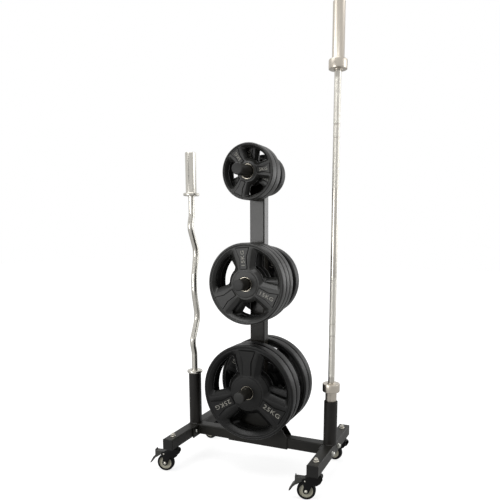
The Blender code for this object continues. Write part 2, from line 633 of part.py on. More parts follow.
def make_curl_bar(tree):
    """Cambered bar whose lower collar rests on the rim of the left post."""
    x = SIDES["left"]
    rim = RAIL_TOP + 2 * GAP + POST_LEFT_HEIGHT
    grip_low = rim + CURL_COLLAR
    grip_high = grip_low + CURL_GRIP
    middle = (grip_low + grip_high) / 2
    reach = CURL_GRIP / 2 + CURL_COLLAR + CURL_SLEEVE - BAR_RECESS
    half = [(z, y) for z, y in CURL_BENDS] + [(CURL_GRIP / 2, 0.0), (reach, 0.0)]
    route = [(-z, y) for z, y in reversed(half)] + half
    path = rounded_loop([(y, z) for z, y in route], [0.0] + [CURL_BEND_RADIUS] * (len(route) - 2) + [0.0], 2)
    curve = bpy.data.curves.new("curl_bar_shaft", "CURVE")
    curve.dimensions = "3D"
    curve.bevel_depth = BAR_RADIUS
    curve.bevel_resolution = 3
    curve.use_fill_caps = True
    spline = curve.splines.new("POLY")
    spline.points.add(len(path) - 1)
    for point, (y, z) in zip(spline.points, path):
        point.co = (0.0, y, z, 1.0)
    finish(new_object("curl_bar_shaft", curve), CHROME, (x, 0, middle), parent=tree)
    bore = BAR_RADIUS / math.cos(math.pi / ROUND) + CURL_RUN
    profile = sleeve_profile(CURL_SLEEVE, CURL_COLLAR, CURL_COLLAR_RADIUS, bore)
    finish(turned("curl_bar_sleeve_low", profile, closed=True), CHROME, (x, 0, rim), parent=tree)
    finish(turned("curl_bar_sleeve_top", profile, closed=True), CHROME, (x, 0, grip_high + CURL_COLLAR),
           (math.pi, 0, 0), tree)


def main():
    clear_scene()
    tree = bpy.data.objects.new("plate_tree", None)
    tree.location = (SHIFT_X, 0, 0)
    collection(PARTS).objects.link(tree)
    make_rails(tree)
    make_crossbeam(tree)
    make_bracket(tree)
    make_upright(tree)
    make_horns(tree)
    make_posts(tree)
    make_plates(tree)
    make_casters(tree)
    make_barbell(tree)
    make_curl_bar(tree)


main()
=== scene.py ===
"""The visual model of a weight plate tree on casters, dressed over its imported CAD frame."""
import math

import bmesh
import bpy
from mathutils import Matrix, Vector


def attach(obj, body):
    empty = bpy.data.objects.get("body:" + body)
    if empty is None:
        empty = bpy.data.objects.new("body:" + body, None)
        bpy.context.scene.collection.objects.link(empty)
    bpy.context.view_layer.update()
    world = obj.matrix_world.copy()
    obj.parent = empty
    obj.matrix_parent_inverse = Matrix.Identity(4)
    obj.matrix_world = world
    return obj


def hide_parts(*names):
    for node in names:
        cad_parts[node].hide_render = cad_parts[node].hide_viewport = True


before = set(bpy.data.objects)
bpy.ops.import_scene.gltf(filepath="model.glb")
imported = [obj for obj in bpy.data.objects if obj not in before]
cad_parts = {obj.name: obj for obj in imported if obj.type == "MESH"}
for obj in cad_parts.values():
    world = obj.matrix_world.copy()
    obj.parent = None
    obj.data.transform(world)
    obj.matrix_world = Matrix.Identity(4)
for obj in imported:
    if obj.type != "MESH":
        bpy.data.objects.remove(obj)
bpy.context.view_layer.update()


# Studio: a pale seamless floor under a white surround, lit by large soft lamps above, at both
# sides and at the rear. The camera stands in front and to the right at chest height and looks
# slightly down, with the frame shifted so the whole stand fits.
def tint(code):
    """Linear colour of an sRGB hex value."""
    parts = [int(code[i:i + 2], 16) / 255 for i in (0, 2, 4)]
    return (*(c / 12.92 if c <= 0.04045 else ((c + 0.055) / 1.055) ** 2.4 for c in parts), 1.0)


def add(tree, kind, links=None, **settings):
    """One shader node with its properties and socket values, and the links into it."""
    node = tree.nodes.new(kind)
    for name, value in settings.items():
        if hasattr(node, name):
            setattr(node, name, value)
        else:
            node.inputs[name.replace("_", " ")].default_value = value
    for name, source in (links or {}).items():
        tree.links.new(source, node.inputs[name])
    return node


def new_object(name, data):
    """Object in the scene for a camera, a lamp, a mesh or a curve."""
    obj = bpy.data.objects.new(name, data)
    bpy.context.scene.collection.objects.link(obj)
    return obj


VIEW_PLACE = (0.99842, -2.15798, 1.10310)
VIEW_TURN, VIEW_TILT, VIEW_ROLL = 22.675, 80.887, 0.16
view = new_object("camera", bpy.data.cameras.new("camera"))
view.data.sensor_width = 36.0
view.data.lens = 37.705
view.data.shift_x = -0.04274
view.data.shift_y = 0.13206
view.matrix_world = (Matrix.Translation(VIEW_PLACE) @ Matrix.Rotation(math.radians(VIEW_TURN), 4, "Z")
                     @ Matrix.Rotation(math.radians(VIEW_TILT), 4, "X")
                     @ Matrix.Rotation(math.radians(VIEW_ROLL), 4, "Z"))
bpy.context.scene.camera = view
bpy.context.scene.view_settings.view_transform = "Standard"

# Name, centre of the lamp, the point it faces, width, height, power in watts
LAMPS = (
    ("lamp_overhead", (-0.3, -0.4, 3.8), (-0.3, -0.35, 0.8), 3.2, 2.6, 74.0),
    ("lamp_high_left", (-1.7, -1.6, 3.5), (0.0, -0.1, 0.6), 2.2, 1.8, 18.0),
    ("lamp_right", (3.0, 0.9, 1.9), (0.2, 0.0, 0.8), 1.8, 2.2, 36.0),
    ("lamp_rear_right", (1.70, 3.4, 1.25), (0.07, 0.0, 1.1), 1.0, 1.9, 17.5),
    ("lamp_front_left", (-1.45, -3.3, 1.05), (0.0, 0.0, 1.0), 1.5, 1.4, 49.0),
)
for name, place, target, width, height, power in LAMPS:
    lamp = new_object(name, bpy.data.lights.new(name, "AREA"))
    lamp.data.shape = "RECTANGLE"
    lamp.data.size, lamp.data.size_y = width, height
    lamp.data.energy = power
    lamp.location = place
    lamp.rotation_euler = (Vector(target) - Vector(place)).to_track_quat("-Z", "Y").to_euler()


def compute(tree, operation, *terms):
    """Result of a math node on the given outputs and numbers."""
    node = add(tree, "ShaderNodeMath", operation=operation)
    for socket, term in zip(node.inputs, terms):
        if isinstance(term, bpy.types.NodeSocket):
            tree.links.new(term, socket)
        else:
            socket.default_value = term
    return node.outputs[0]


def light_path(tree, reflected):
    """One for rays from the camera or through glass, and the given share for reflections."""
    path = add(tree, "ShaderNodeLightPath").outputs
    straight = compute(tree, "MAXIMUM", path["Is Camera Ray"], path["Is Transmission Ray"])
    return compute(tree, "MAXIMUM", straight, compute(tree, "MULTIPLY", path["Is Glossy Ray"], reflected))


def shades(tree, amount, dark, light, start=0.0, stop=1.0):
    """Colour that runs from one sRGB value to another as the amount grows."""
    blend = add(tree, "ShaderNodeValToRGB", links={"Fac": amount})
    for step, place, code in zip(blend.color_ramp.elements, (start, stop), (dark, light)):
        step.position, step.color = place, tint(code)
    return blend.outputs["Color"]


def solid(name, bm, material):
    """Object of one material from a mesh in the making."""
    mesh = bpy.data.meshes.new(name)
    bm.to_mesh(mesh)
    bm.free()
    mesh.materials.append(material)
    return new_object(name, mesh)


def panel(name, material, half, place=Matrix()):
    """Flat stage piece, a square that may be stretched by its placement."""
    bm = bmesh.new()
    bmesh.ops.create_grid(bm, x_segments=1, y_segments=1, size=half, matrix=place)
    return solid(name, bm, material)


# Rays from the camera and in reflections find a white surround, and the rest a dimmer one
ROOM_STRENGTH, ROOM_REFLECTED = 0.27, 0.9
surround = bpy.data.worlds.new("studio")
bpy.context.scene.world = surround
surround.use_nodes = True
room = surround.node_tree
room.nodes.clear()
soft = add(room, "ShaderNodeBackground", Color=tint("ffffff"), Strength=ROOM_STRENGTH)
white = add(room, "ShaderNodeBackground", Color=tint("ffffff"), Strength=1.0)
both = add(room, "ShaderNodeMixShader",
           links={0: light_path(room, ROOM_REFLECTED), 1: soft.outputs[0], 2: white.outputs[0]})
add(room, "ShaderNodeOutputWorld", links={"Surface": both.outputs[0]})

# The floor is matt pale card, and the farther from the stand, the more it is lifted to white
FLOOR_HALF, FLOOR_REFLECTED = 14.0, 0.36
FADE_START, FADE_STOP, FADE_LOW = 0.6, 2.2, 0.80
card = bpy.data.materials.new("pale_card_floor")
card.use_nodes = True
sheet = card.node_tree
sheet.nodes.clear()
paper = add(sheet, "ShaderNodeBsdfDiffuse", Color=tint("a8a8a8"))
place = add(sheet, "ShaderNodeTexCoord")
away = add(sheet, "ShaderNodeVectorMath", operation="LENGTH", links={0: place.outputs["Object"]})
fade = add(sheet, "ShaderNodeMapRange", From_Min=FADE_START, From_Max=FADE_STOP, To_Min=FADE_LOW,
           links={"Value": away.outputs["Value"]})
share = compute(sheet, "MULTIPLY", light_path(sheet, FLOOR_REFLECTED), fade.outputs["Result"])
lift = add(sheet, "ShaderNodeEmission", Color=tint("ffffff"), links={"Strength": share})
total = add(sheet, "ShaderNodeAddShader", links={0: paper.outputs[0], 1: lift.outputs[0]})
add(sheet, "ShaderNodeOutputMaterial", links={"Surface": total.outputs[0]})
floor = panel("floor", card, FLOOR_HALF)

# A dark curtain behind the camera, which only reflections find, keeps the black parts black
CURTAIN_PLACE = (-2.0, -4.6, 1.9)
CURTAIN_HALF = (1.1, 1.9)
curtain_cloth = bpy.data.materials.new("dark_curtain")
curtain_cloth.use_nodes = True
cloth = curtain_cloth.node_tree
weave = add(cloth, "ShaderNodeTexNoise", Scale=3.0)
cloth.links.new(shades(cloth, weave.outputs["Fac"], "202020", "2c2c2c"),
                cloth.nodes["Principled BSDF"].inputs["Base Color"])
curtain = panel("curtain", curtain_cloth, 1.0, Matrix.Translation(CURTAIN_PLACE)
                @ Matrix.Rotation(math.pi / 2, 4, "X") @ Matrix.Diagonal((*CURTAIN_HALF, 1.0, 1.0)))
curtain.visible_camera = False


# Side rails: 50 mm square steel tube with a fine textured black powder coat, closed at both
# ends by moulded caps. Everything in the stand is welded or bolted to them, and the casters
# hang under their ends.
def painted(name, **settings):
    """New material, its node tree, its shader with these values, and the object's coordinates."""
    material = bpy.data.materials.new(name)
    material.use_nodes = True
    tree = material.node_tree
    shader = tree.nodes["Principled BSDF"]
    for socket, value in settings.items():
        shader.inputs[socket.replace("_", " ")].default_value = value
    return material, tree, shader, add(tree, "ShaderNodeTexCoord").outputs["Object"]


def noise(tree, spot, size, detail, **settings):
    """Noise with features of about the given size in metres."""
    return add(tree, "ShaderNodeTexNoise", Scale=1 / size, Detail=detail, links={"Vector": spot},
               **settings).outputs["Fac"]


def spread(tree, amount, low, high):
    """Amount from 0 to 1 turned into a value between two limits."""
    return add(tree, "ShaderNodeMapRange", To_Min=low, To_Max=high, links={"Value": amount}).outputs["Result"]


def relief(tree, height, strength, depth):
    """Bumps as deep as the given number of metres."""
    return add(tree, "ShaderNodeBump", Strength=strength, Distance=depth,
               links={"Height": height}).outputs["Normal"]


def join(tree, shader, links):
    """Links into the shader's sockets by their names."""
    for name, source in links.items():
        tree.links.new(source, shader.inputs[name])


def powder_coat(name, dark, light, roughness=0.46):
    """Polyester powder baked on steel: even satin black with a fine orange peel."""
    coat, tree, shader, spot = painted(name, Specular_IOR_Level=0.24)
    # The shade clouds over about 60 mm, and the peel is 1.4 mm, coarser than the real 0.6 mm to show
    cloud = noise(tree, spot, 0.060, 3.0)
    peel = noise(tree, spot, 0.0014, 2.0)
    join(tree, shader, {"Base Color": shades(tree, cloud, dark, light, 0.35, 0.65),
                        "Roughness": spread(tree, peel, roughness - 0.05, roughness + 0.05),
                        "Normal": relief(tree, peel, 0.35, 0.00025)})
    return coat


def block(bm, low, high, radius, along=None, segments=4):
    """Box between two corners with its edges rounded, or only those along one axis."""
    made = bmesh.ops.create_cube(bm, size=1.0)["verts"]
    bmesh.ops.scale(bm, vec=[b - a for a, b in zip(low, high)], verts=made)
    bmesh.ops.translate(bm, vec=[(a + b) / 2 for a, b in zip(low, high)], verts=made)
    edges = {edge for vert in made for edge in vert.link_edges}
    if along is not None:
        edges = {edge for edge in edges if abs((edge.verts[0].co - edge.verts[1].co)[along]) > 1e-6}
    bmesh.ops.bevel(bm, geom=list(edges), offset=radius, segments=segments, profile=0.5, affect="EDGES",
                    material=-1, clamp_overlap=True)


SMOOTH_UNDER = 32


def piece(name, bm, material, even=False):
    """Finished object from a mesh in the making, with smooth rounds and sharp corners."""
    obj = solid(name, bm, material)
    obj.data.shade_smooth()
    obj.data.set_sharp_from_angle(angle=math.radians(SMOOTH_UNDER))
    if even:
        flats = obj.modifiers.new("even_flats", "WEIGHTED_NORMAL")
        flats.keep_sharp = True
    return obj


def moulded_plastic(name, color, roughness):
    """Injection moulded polyethylene: dull, with a fine spark-eroded grain."""
    plastic, tree, shader, spot = painted(name, Base_Color=tint(color), Specular_IOR_Level=0.24)
    # The grain is 1.1 mm, coarser than the real 0.2 mm to show
    grain = add(tree, "ShaderNodeTexVoronoi", Scale=1 / 0.0011, links={"Vector": spot}).outputs["Distance"]
    join(tree, shader, {"Roughness": spread(tree, grain, roughness - 0.06, roughness + 0.08),
                        "Normal": relief(tree, grain, 0.4, 0.00015)})
    return plastic


STAND_X = 0.037134
RAIL_X = 0.346
RAIL_HALF = 0.025
RAIL_LOW, RAIL_TOP = 0.119, 0.169
RAIL_END = 0.253
TUBE_CORNER = 0.0045
CAP_THICK, CAP_EDGE = 0.004, 0.0018
GAP = 0.0003
SIDES = (("left", STAND_X - RAIL_X), ("right", STAND_X + RAIL_X))
ENDS = (("front", -1), ("rear", 1))
black_coat = powder_coat("black_powder_coat", "181714", "201f1b")
black_plastic = moulded_plastic("black_moulded_plastic", "181817", 0.52)
for side, x in SIDES:
    bm = bmesh.new()
    reach = RAIL_END - CAP_THICK - GAP
    block(bm, (x - RAIL_HALF, -reach, RAIL_LOW), (x + RAIL_HALF, reach, RAIL_TOP), TUBE_CORNER,
          along=1, segments=5)
    rail = piece(f"steel_rail_{side}", bm, black_coat, even=True)
    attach(rail, "frame")
    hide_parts(f"rail_{side}")
    for end, sign in ENDS:
        bm = bmesh.new()
        near, far = sorted((sign * (RAIL_END - CAP_THICK), sign * RAIL_END))
        block(bm, (x - RAIL_HALF, near, RAIL_LOW), (x + RAIL_HALF, far, RAIL_TOP), CAP_EDGE,
              segments=3)
        cap = piece(f"end_cap_{end}_{side}", bm, black_plastic, even=True)
        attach(cap, "frame")
        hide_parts(f"rail_cap_{end}_{side}")


# Crossbeam: the same tube between the rails, with a 6 mm plate welded to each end. Two bolts
# through each plate and the rail hold it, with round heads inside and domed nuts on washers
# outside, all bright zinc.
def turn(bm, profile, place=Matrix(), steps=40, closed=False):
    """Turned form: a line of (radius, height) points spun about Z and then put in place."""
    before = set(bm.verts)
    line = [bm.verts.new((radius, 0.0, height)) for radius, height in profile]
    pairs = list(zip(line, line[1:])) + ([(line[-1], line[0])] if closed else [])
    edges = [bm.edges.new(pair) for pair in pairs]
    bmesh.ops.spin(bm, geom=line + edges, axis=(0, 0, 1), steps=steps, angle=2 * math.pi, use_merge=True)
    bmesh.ops.remove_doubles(bm, verts=[v for v in bm.verts if v not in before], dist=1e-6)
    made = [v for v in bm.verts if v not in before]
    bmesh.ops.recalc_face_normals(bm, faces=list({face for vert in made for face in vert.link_faces}))
    bmesh.ops.transform(bm, matrix=place, verts=made)


def facing(direction, point):
    """Placement whose Z axis points along a direction from a point."""
    return Matrix.Translation(point) @ Vector(direction).to_track_quat("Z", "Y").to_matrix().to_4x4()


def bright_zinc(name, color, roughness):
    """Zinc plated steel: pale metal with a soft drawn sheen."""
    plated, tree, shader, spot = painted(name, Base_Color=tint(color), Metallic=1.0)
    spangle = noise(tree, spot, 0.004, 4.0)
    join(tree, shader, {"Roughness": spread(tree, spangle, roughness - 0.08, roughness + 0.10)})
    return plated


BEAM_END = RAIL_X - RAIL_HALF - GAP
PLATE_THICK = 0.006
PLATE_HALF = 0.075
PLATE_LOW, PLATE_HIGH = 0.115, 0.167
BOLT_Y, BOLT_Z = 0.048, 0.143
PLATE_EDGE = 0.0012
BEAD_HALF, BEAD_HIGH, BEAD_ROUND, BEAD_LIFT = 0.003, 0.0022, 0.0024, 0.0004
zinc = bright_zinc("bright_zinc_plate", "b8b8b2", 0.32)
bm = bmesh.new()
block(bm, (STAND_X - BEAM_END, -RAIL_HALF, RAIL_LOW), (STAND_X + BEAM_END, RAIL_HALF, RAIL_TOP),
      TUBE_CORNER, along=0, segments=5)
for sign in (-1, 1):
    near, far = sorted((STAND_X + sign * (BEAM_END - PLATE_THICK), STAND_X + sign * BEAM_END))
    block(bm, (near, -PLATE_HALF, PLATE_LOW), (far, PLATE_HALF, PLATE_HIGH), PLATE_EDGE, segments=2)
    # Weld bead around the tube's end, drawn as a fine rounded collar
    bead = STAND_X + sign * (BEAM_END - PLATE_THICK - BEAD_HALF / 2)
    block(bm, (bead - BEAD_HALF, -RAIL_HALF - BEAD_HIGH, RAIL_LOW + BEAD_LIFT),
          (bead + BEAD_HALF, RAIL_HALF + BEAD_HIGH, RAIL_TOP), BEAD_ROUND, segments=3)
beam = piece("steel_crossbeam", bm, black_coat, even=True)
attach(beam, "frame")
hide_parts("crossbeam")
NUT_DOME = [(0.0, 0.0128), (0.0035, 0.0126), (0.0062, 0.0114), (0.0078, 0.0095), (0.0084, 0.0082),
            (0.0084, 0.0070), (0.0, 0.0070)]
BOLT_HEAD = [(0.0, 0.0050), (0.0040, 0.0047), (0.0068, 0.0034), (0.0080, 0.0012), (0.0080, 0.0)]
WASHER = [(0.0115, 0.0), (0.0115, 0.0014), (0.0110, 0.0018), (0.0070, 0.0018), (0.0070, 0.0)]
NUT_HEX = [(0.0094, 0.0080), (0.0102, 0.0070), (0.0102, 0.0018), (0.0, 0.0018), (0.0, 0.0080)]
for side, x in SIDES:
    out = 1 if side == "right" else -1
    bm = bmesh.new()
    for y in (-BOLT_Y, BOLT_Y):
        inside = facing((-out, 0, 0), (x - out * (RAIL_HALF + PLATE_THICK + GAP), y, BOLT_Z))
        outside = facing((out, 0, 0), (x + out * RAIL_HALF, y, BOLT_Z))
        turn(bm, BOLT_HEAD, inside, 24)
        turn(bm, WASHER, outside, 32)
        turn(bm, NUT_HEX, outside, 6)
        turn(bm, NUT_DOME, outside, 24)
    bolts = piece(f"beam_bolts_{side}", bm, zinc)
    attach(bolts, "frame")


# Base bracket: one 4 mm sheet folded to a U under the crossbeam. Its two cheeks taper up
# beside the upright, which stands between them and is welded along their edges.
def ease_edges(obj, name, width, segments):
    """Narrow bevel along each sharp edge."""
    edge = obj.modifiers.new(name, "BEVEL")
    edge.width = width
    edge.segments = segments
    edge.limit_method = "ANGLE"
    edge.angle_limit = math.radians(50)


def sheet_metal(obj, thickness, edge_width):
    """A sheet's thickness, grown inwards from its outer skin, with its edges deburred."""
    wall = obj.modifiers.new("sheet", "SOLIDIFY")
    wall.thickness = thickness
    wall.offset = -1.0
    ease_edges(obj, "deburred_edge", edge_width, 2)


def cut(bm, normal, point):
    """Takes away what lies beyond a plane."""
    bmesh.ops.bisect_plane(bm, geom=bm.verts[:] + bm.edges[:] + bm.faces[:], clear_outer=True,
                           plane_no=normal, plane_co=point)


SHEET, DEBURR = 0.004, 0.0008
CHEEK = RAIL_HALF + GAP + SHEET
FOOT_HALF, NECK_HALF = 0.150, 0.040
SHOULDER_Z, NECK_Z = 0.170, 0.335
FOLD = 0.006
FOLD_Z = RAIL_LOW - GAP - SHEET + FOLD
bm = bmesh.new()
arc = [(FOLD - CHEEK - FOLD * math.sin(math.radians(a)), FOLD_Z - FOLD * math.cos(math.radians(a)))
       for a in range(0, 91, 15)]
strip = [(-CHEEK, NECK_Z)] + arc[::-1] + [(-y, z) for y, z in arc] + [(CHEEK, NECK_Z)]
line = [bm.verts.new((STAND_X - FOOT_HALF, y, z)) for y, z in strip]
edges = [bm.edges.new(pair) for pair in zip(line, line[1:])]
swept = bmesh.ops.extrude_edge_only(bm, edges=edges)["geom"]
bmesh.ops.translate(bm, vec=(2 * FOOT_HALF, 0, 0),
                    verts=[v for v in swept if isinstance(v, bmesh.types.BMVert)])
slope = Vector((NECK_Z - SHOULDER_Z, 0, FOOT_HALF - NECK_HALF)).normalized()
for sign in (-1, 1):
    cut(bm, (sign * slope.x, 0, slope.z), (STAND_X + sign * FOOT_HALF, 0, SHOULDER_Z))
bmesh.ops.dissolve_limit(bm, angle_limit=0.01, verts=bm.verts, edges=bm.edges)
bmesh.ops.recalc_face_normals(bm, faces=bm.faces)
# The strip is the sheet's outer skin, so the face below the crossbeam has to look down
for face in bm.faces:
    if face.normal.z > 0.5:
        bmesh.ops.reverse_faces(bm, faces=bm.faces)
        break
bracket = piece("folded_base_bracket", bm, black_coat)
sheet_metal(bracket, SHEET, DEBURR)
bracket.modifiers.new("even_flats", "WEIGHTED_NORMAL")
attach(bracket, "frame")
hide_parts("base_bracket")


# Upright: a 70 by 50 mm tube that stands on the crossbeam, with a smoother coat than the rails,
# its colour painted a little lighter to stand in for the light on it, and a moulded cap in its top.
# The three horns pass through it and are welded all round.
UPRIGHT_X, UPRIGHT_Y = 0.035, 0.025
UPRIGHT_TOP = 1.414
UPRIGHT_CORNER, TOP_CAP_EDGE = 0.0055, 0.0016
# The same black coat as the rails, smoother, with its colour painted lighter to stand in for the light it
# catches
upright_coat_painted_lighter = powder_coat("black_powder_coat_upright_painted_lighter", "1f1d1a", "282622", 0.21)
bm = bmesh.new()
block(bm, (STAND_X - UPRIGHT_X, -UPRIGHT_Y, RAIL_TOP + GAP),
      (STAND_X + UPRIGHT_X, UPRIGHT_Y, UPRIGHT_TOP - CAP_THICK), UPRIGHT_CORNER, along=2, segments=5)
upright = piece("steel_upright", bm, upright_coat_painted_lighter, even=True)
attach(upright, "frame")
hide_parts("upright")
bm = bmesh.new()
block(bm, (STAND_X - UPRIGHT_X, -UPRIGHT_Y, UPRIGHT_TOP - CAP_THICK + GAP),
      (STAND_X + UPRIGHT_X, UPRIGHT_Y, UPRIGHT_TOP), TOP_CAP_EDGE, segments=3)
top_cap = piece("upright_top_cap", bm, black_plastic, even=True)
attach(top_cap, "frame")
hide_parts("upright_cap")


# Horns: 48 mm round tube, one length through the upright at each level, with a round moulded
# plug in both ends. A bead of weld runs around each one where it leaves the upright.
CLOSED = True


def turned(name, material, *forms):
    """Finished object from turned forms: for each its profile, place and steps, and if it is closed."""
    bm = bmesh.new()
    for form in forms:
        turn(bm, *form)
    return piece(name, bm, material)


LOW_Z, MIDDLE_Z, TOP_Z = 0.399, 0.884, 1.354
HORN_R, HORN_WALL = 0.024, 0.003
HORN_END = 0.220
PLUG = 0.004
TUBE_HALF = HORN_END - PLUG - GAP
# Turned profiles: the tube, the bead of weld on the upright's face, and the plug
TUBE = [(HORN_R - DEBURR, TUBE_HALF), (HORN_R, TUBE_HALF - DEBURR), (HORN_R, DEBURR - TUBE_HALF),
        (HORN_R - DEBURR, -TUBE_HALF), (HORN_R - HORN_WALL, -TUBE_HALF), (HORN_R - HORN_WALL, TUBE_HALF)]
HORN_BEAD = [(HORN_R - 0.001, 0.0052), (HORN_R + 0.0012, 0.0046), (HORN_R + 0.0034, 0.0030),
             (HORN_R + 0.0050, 0.0006), (HORN_R + 0.0052, -0.0010), (HORN_R - 0.001, -0.0010)]
PLUG_FACE = [(0.0, PLUG), (HORN_R - 0.0040, PLUG), (HORN_R - 0.0018, PLUG - 0.0005),
             (HORN_R - 0.0004, PLUG - 0.0018), (HORN_R, 0.0010), (HORN_R - 0.0006, 0.0), (0.0, 0.0)]
horn_plastic = moulded_plastic("black_moulded_plug", "2a2a29", 0.46)
for level, z in (("low", LOW_Z), ("middle", MIDDLE_Z), ("top", TOP_Z)):
    beads = [(HORN_BEAD, facing((0, sign, 0), (STAND_X, sign * UPRIGHT_Y, z)), 72, CLOSED)
             for _, sign in ENDS]
    horn = turned(f"steel_horn_{level}", black_coat,
                  (TUBE, facing((0, 1, 0), (STAND_X, 0, z)), 64, CLOSED), *beads)
    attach(horn, "frame")
    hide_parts(f"horn_{level}")
    for end, sign in ENDS:
        outer = facing((0, sign, 0), (STAND_X, sign * (HORN_END - PLUG), z))
        plug = turned(f"horn_plug_{level}_{end}", horn_plastic, (PLUG_FACE, outer, 64))
        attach(plug, "frame")
        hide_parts(f"horn_cap_{level}_{end}")


# Bar posts: 60 mm round tube welded upright on each rail, open at the top. The straight bar
# stands on a floor inside the shorter one, and the curl bar's collar rests on the taller rim.
POST_R, POST_WALL = 0.030, 0.003
POST_BORE, POST_FOOT = POST_R - POST_WALL, RAIL_TOP + GAP
# Section of the bead of weld, and how far it runs to the sides from the post's axis
POST_BEAD = [(POST_R - 0.001, 0.0050), (POST_R + 0.0010, 0.0044), (POST_R + 0.0030, 0.0028),
             (POST_R + 0.0046, 0.0004), (POST_R + 0.0046, 0.0), (POST_R - 0.001, 0.0)]
WELD_REACH = RAIL_HALF - 0.004
# Height of each post above its foot, and of the floor inside it
POSTS = {"left": (0.252, 0.006), "right": (0.197, 0.024)}
post_coat = powder_coat("black_powder_coat_post", "171513", "1d1b18", 0.44)
for side, x in SIDES:
    height, floor_height = POSTS[side]
    profile = [(0.0, floor_height), (POST_BORE, floor_height), (POST_BORE, height - DEBURR),
               (POST_BORE + DEBURR, height), (POST_R - DEBURR, height), (POST_R, height - DEBURR),
               (POST_R, 0.0), (0.0, 0.0)]
    stand = Matrix.Translation((x, 0, POST_FOOT))
    bm = bmesh.new()
    turn(bm, POST_BEAD, stand, 72, CLOSED)
    # The bead stops where the tube reaches past the rail's flat top on both sides
    for sign in (-1, 1):
        cut(bm, (sign, 0, 0), (x + sign * WELD_REACH, 0, POST_FOOT))
    turn(bm, profile, stand, 64)
    post = piece(f"steel_post_{side}", bm, post_coat)
    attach(post, "frame")
    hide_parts(f"post_{side}")


# Casters: a pressed fork of black plated sheet turns on the race of a zinc stem, which passes
# up through the rail to a washer and a lock nut. The wheel is a moulded grey centre in a black
# rubber tyre on a bright axle bolt, and the front pair carry a sheet brake pedal.
def black_plated(name, color, roughness, metal=0.25):
    """Pressed sheet with a black electroplate: smooth, dark and faintly metallic."""
    plated, tree, shader, spot = painted(name, Base_Color=tint(color), Metallic=metal,
                                         Specular_IOR_Level=0.14)
    draw = noise(tree, spot, 0.006, 5.0)
    join(tree, shader, {"Roughness": spread(tree, draw, roughness - 0.08, roughness + 0.12)})
    return plated


def tyre_rubber(name, dark, light):
    """Moulded black rubber: matt, with a faint bloom and a slight grain."""
    rubber, tree, shader, spot = painted(name, Roughness=0.66, Specular_IOR_Level=0.12)
    # The bloom clouds over 12 mm, and the grain is 0.9 mm, coarser than the real 0.3 mm to show
    bloom = noise(tree, spot, 0.012, 4.0)
    grain = noise(tree, spot, 0.0009, 1.0)
    join(tree, shader, {"Base Color": shades(tree, bloom, dark, light),
                        "Normal": relief(tree, grain, 0.3, 0.0001)})
    return rubber


# Straighter corners stay sharp, and an arc takes at most this share of a side
NEARLY_STRAIGHT, SIDE_SHARE = 1.56, 0.48


def rounded(points, radii, steps=4):
    """Outline with an arc of its own radius in place of each corner."""
    out = []
    for i, (point, radius) in enumerate(zip(points, radii)):
        corner = Vector(point)
        a, b = Vector(points[i - 1]) - corner, Vector(points[(i + 1) % len(points)]) - corner
        half = a.angle(b) / 2
        if radius <= 0 or half > NEARLY_STRAIGHT:
            out.append(point)
            continue
        reach = min(radius / math.tan(half), SIDE_SHARE * a.length, SIDE_SHARE * b.length)
        middle = corner + (a.normalized() + b.normalized()).normalized() * reach / math.cos(half)
        start = corner + a.normalized() * reach - middle
        bend = start.angle_signed(corner + b.normalized() * reach - middle)
        for k in range(steps + 1):
            spoke = start.copy()
            spoke.rotate(Matrix.Rotation(-bend * k / steps, 2))
            out.append(tuple(middle + spoke))
    return out


def prism(outline, half, origin):
    """Mesh in the making of a side view outline that reaches half its width to both sides."""
    bm = bmesh.new()
    face = bm.faces.new([bm.verts.new((origin[0] + x, origin[1] - half, z)) for x, z in outline])
    grown = bmesh.ops.extrude_face_region(bm, geom=[face])["geom"]
    bmesh.ops.translate(bm, vec=(0, 2 * half, 0),
                        verts=[v for v in grown if isinstance(v, bmesh.types.BMVert)])
    bmesh.ops.recalc_face_normals(bm, faces=bm.faces)
    return bm


def both_faces(front):
    """Whole section from its front half."""
    return front + [(radius, -height) for radius, height in reversed(front)]


def polar(radius, angle):
    """Point at a distance and an angle from the centre."""
    return radius * math.cos(angle), radius * math.sin(angle)


STEM_Y = 0.204
CASTER_TURN = math.radians(12.5)
TRAIL = 0.038
WHEEL_R = 0.040
FORK_TOP, FORK_SHEET, FORK_HALF = 0.111, 0.003, 0.0175
FORK_BEND, FORK_EDGE = 0.0035, 0.0006
HEAD_END, HEAD_LOW = 0.030, 0.098
EYE_R = 0.0125
eye = [(x - TRAIL, z + WHEEL_R) for x, z in (polar(EYE_R, math.radians(a)) for a in range(-25, -171, -15))]
FORK_HEAD = rounded([(-0.0215, FORK_TOP), (0.0270, FORK_TOP), (HEAD_END, 0.1020), (HEAD_END, 0.0950),
                     (0.0215, 0.0785), (-0.0040, 0.0595)], [0.002, 0.004, 0.004, 0.006, 0.010, 0.014])
FORK_BACK = rounded([(-0.0505, 0.0425), (-0.0475, 0.0600), (-0.0500, 0.0720), (-0.0560, 0.0790),
                     (-0.0560, 0.1000)], [0.0, 0.012, 0.006, 0.006, 0.003])
FORK_SIDE = FORK_HEAD + eye + FORK_BACK
# The pedal's pin, or a rear caster's rivet: place beside the stem's axis, height above the floor
PIN = (-0.043, 0.0845)
PEDAL_HALF, PEDAL_EDGE = 0.0135, 0.0009
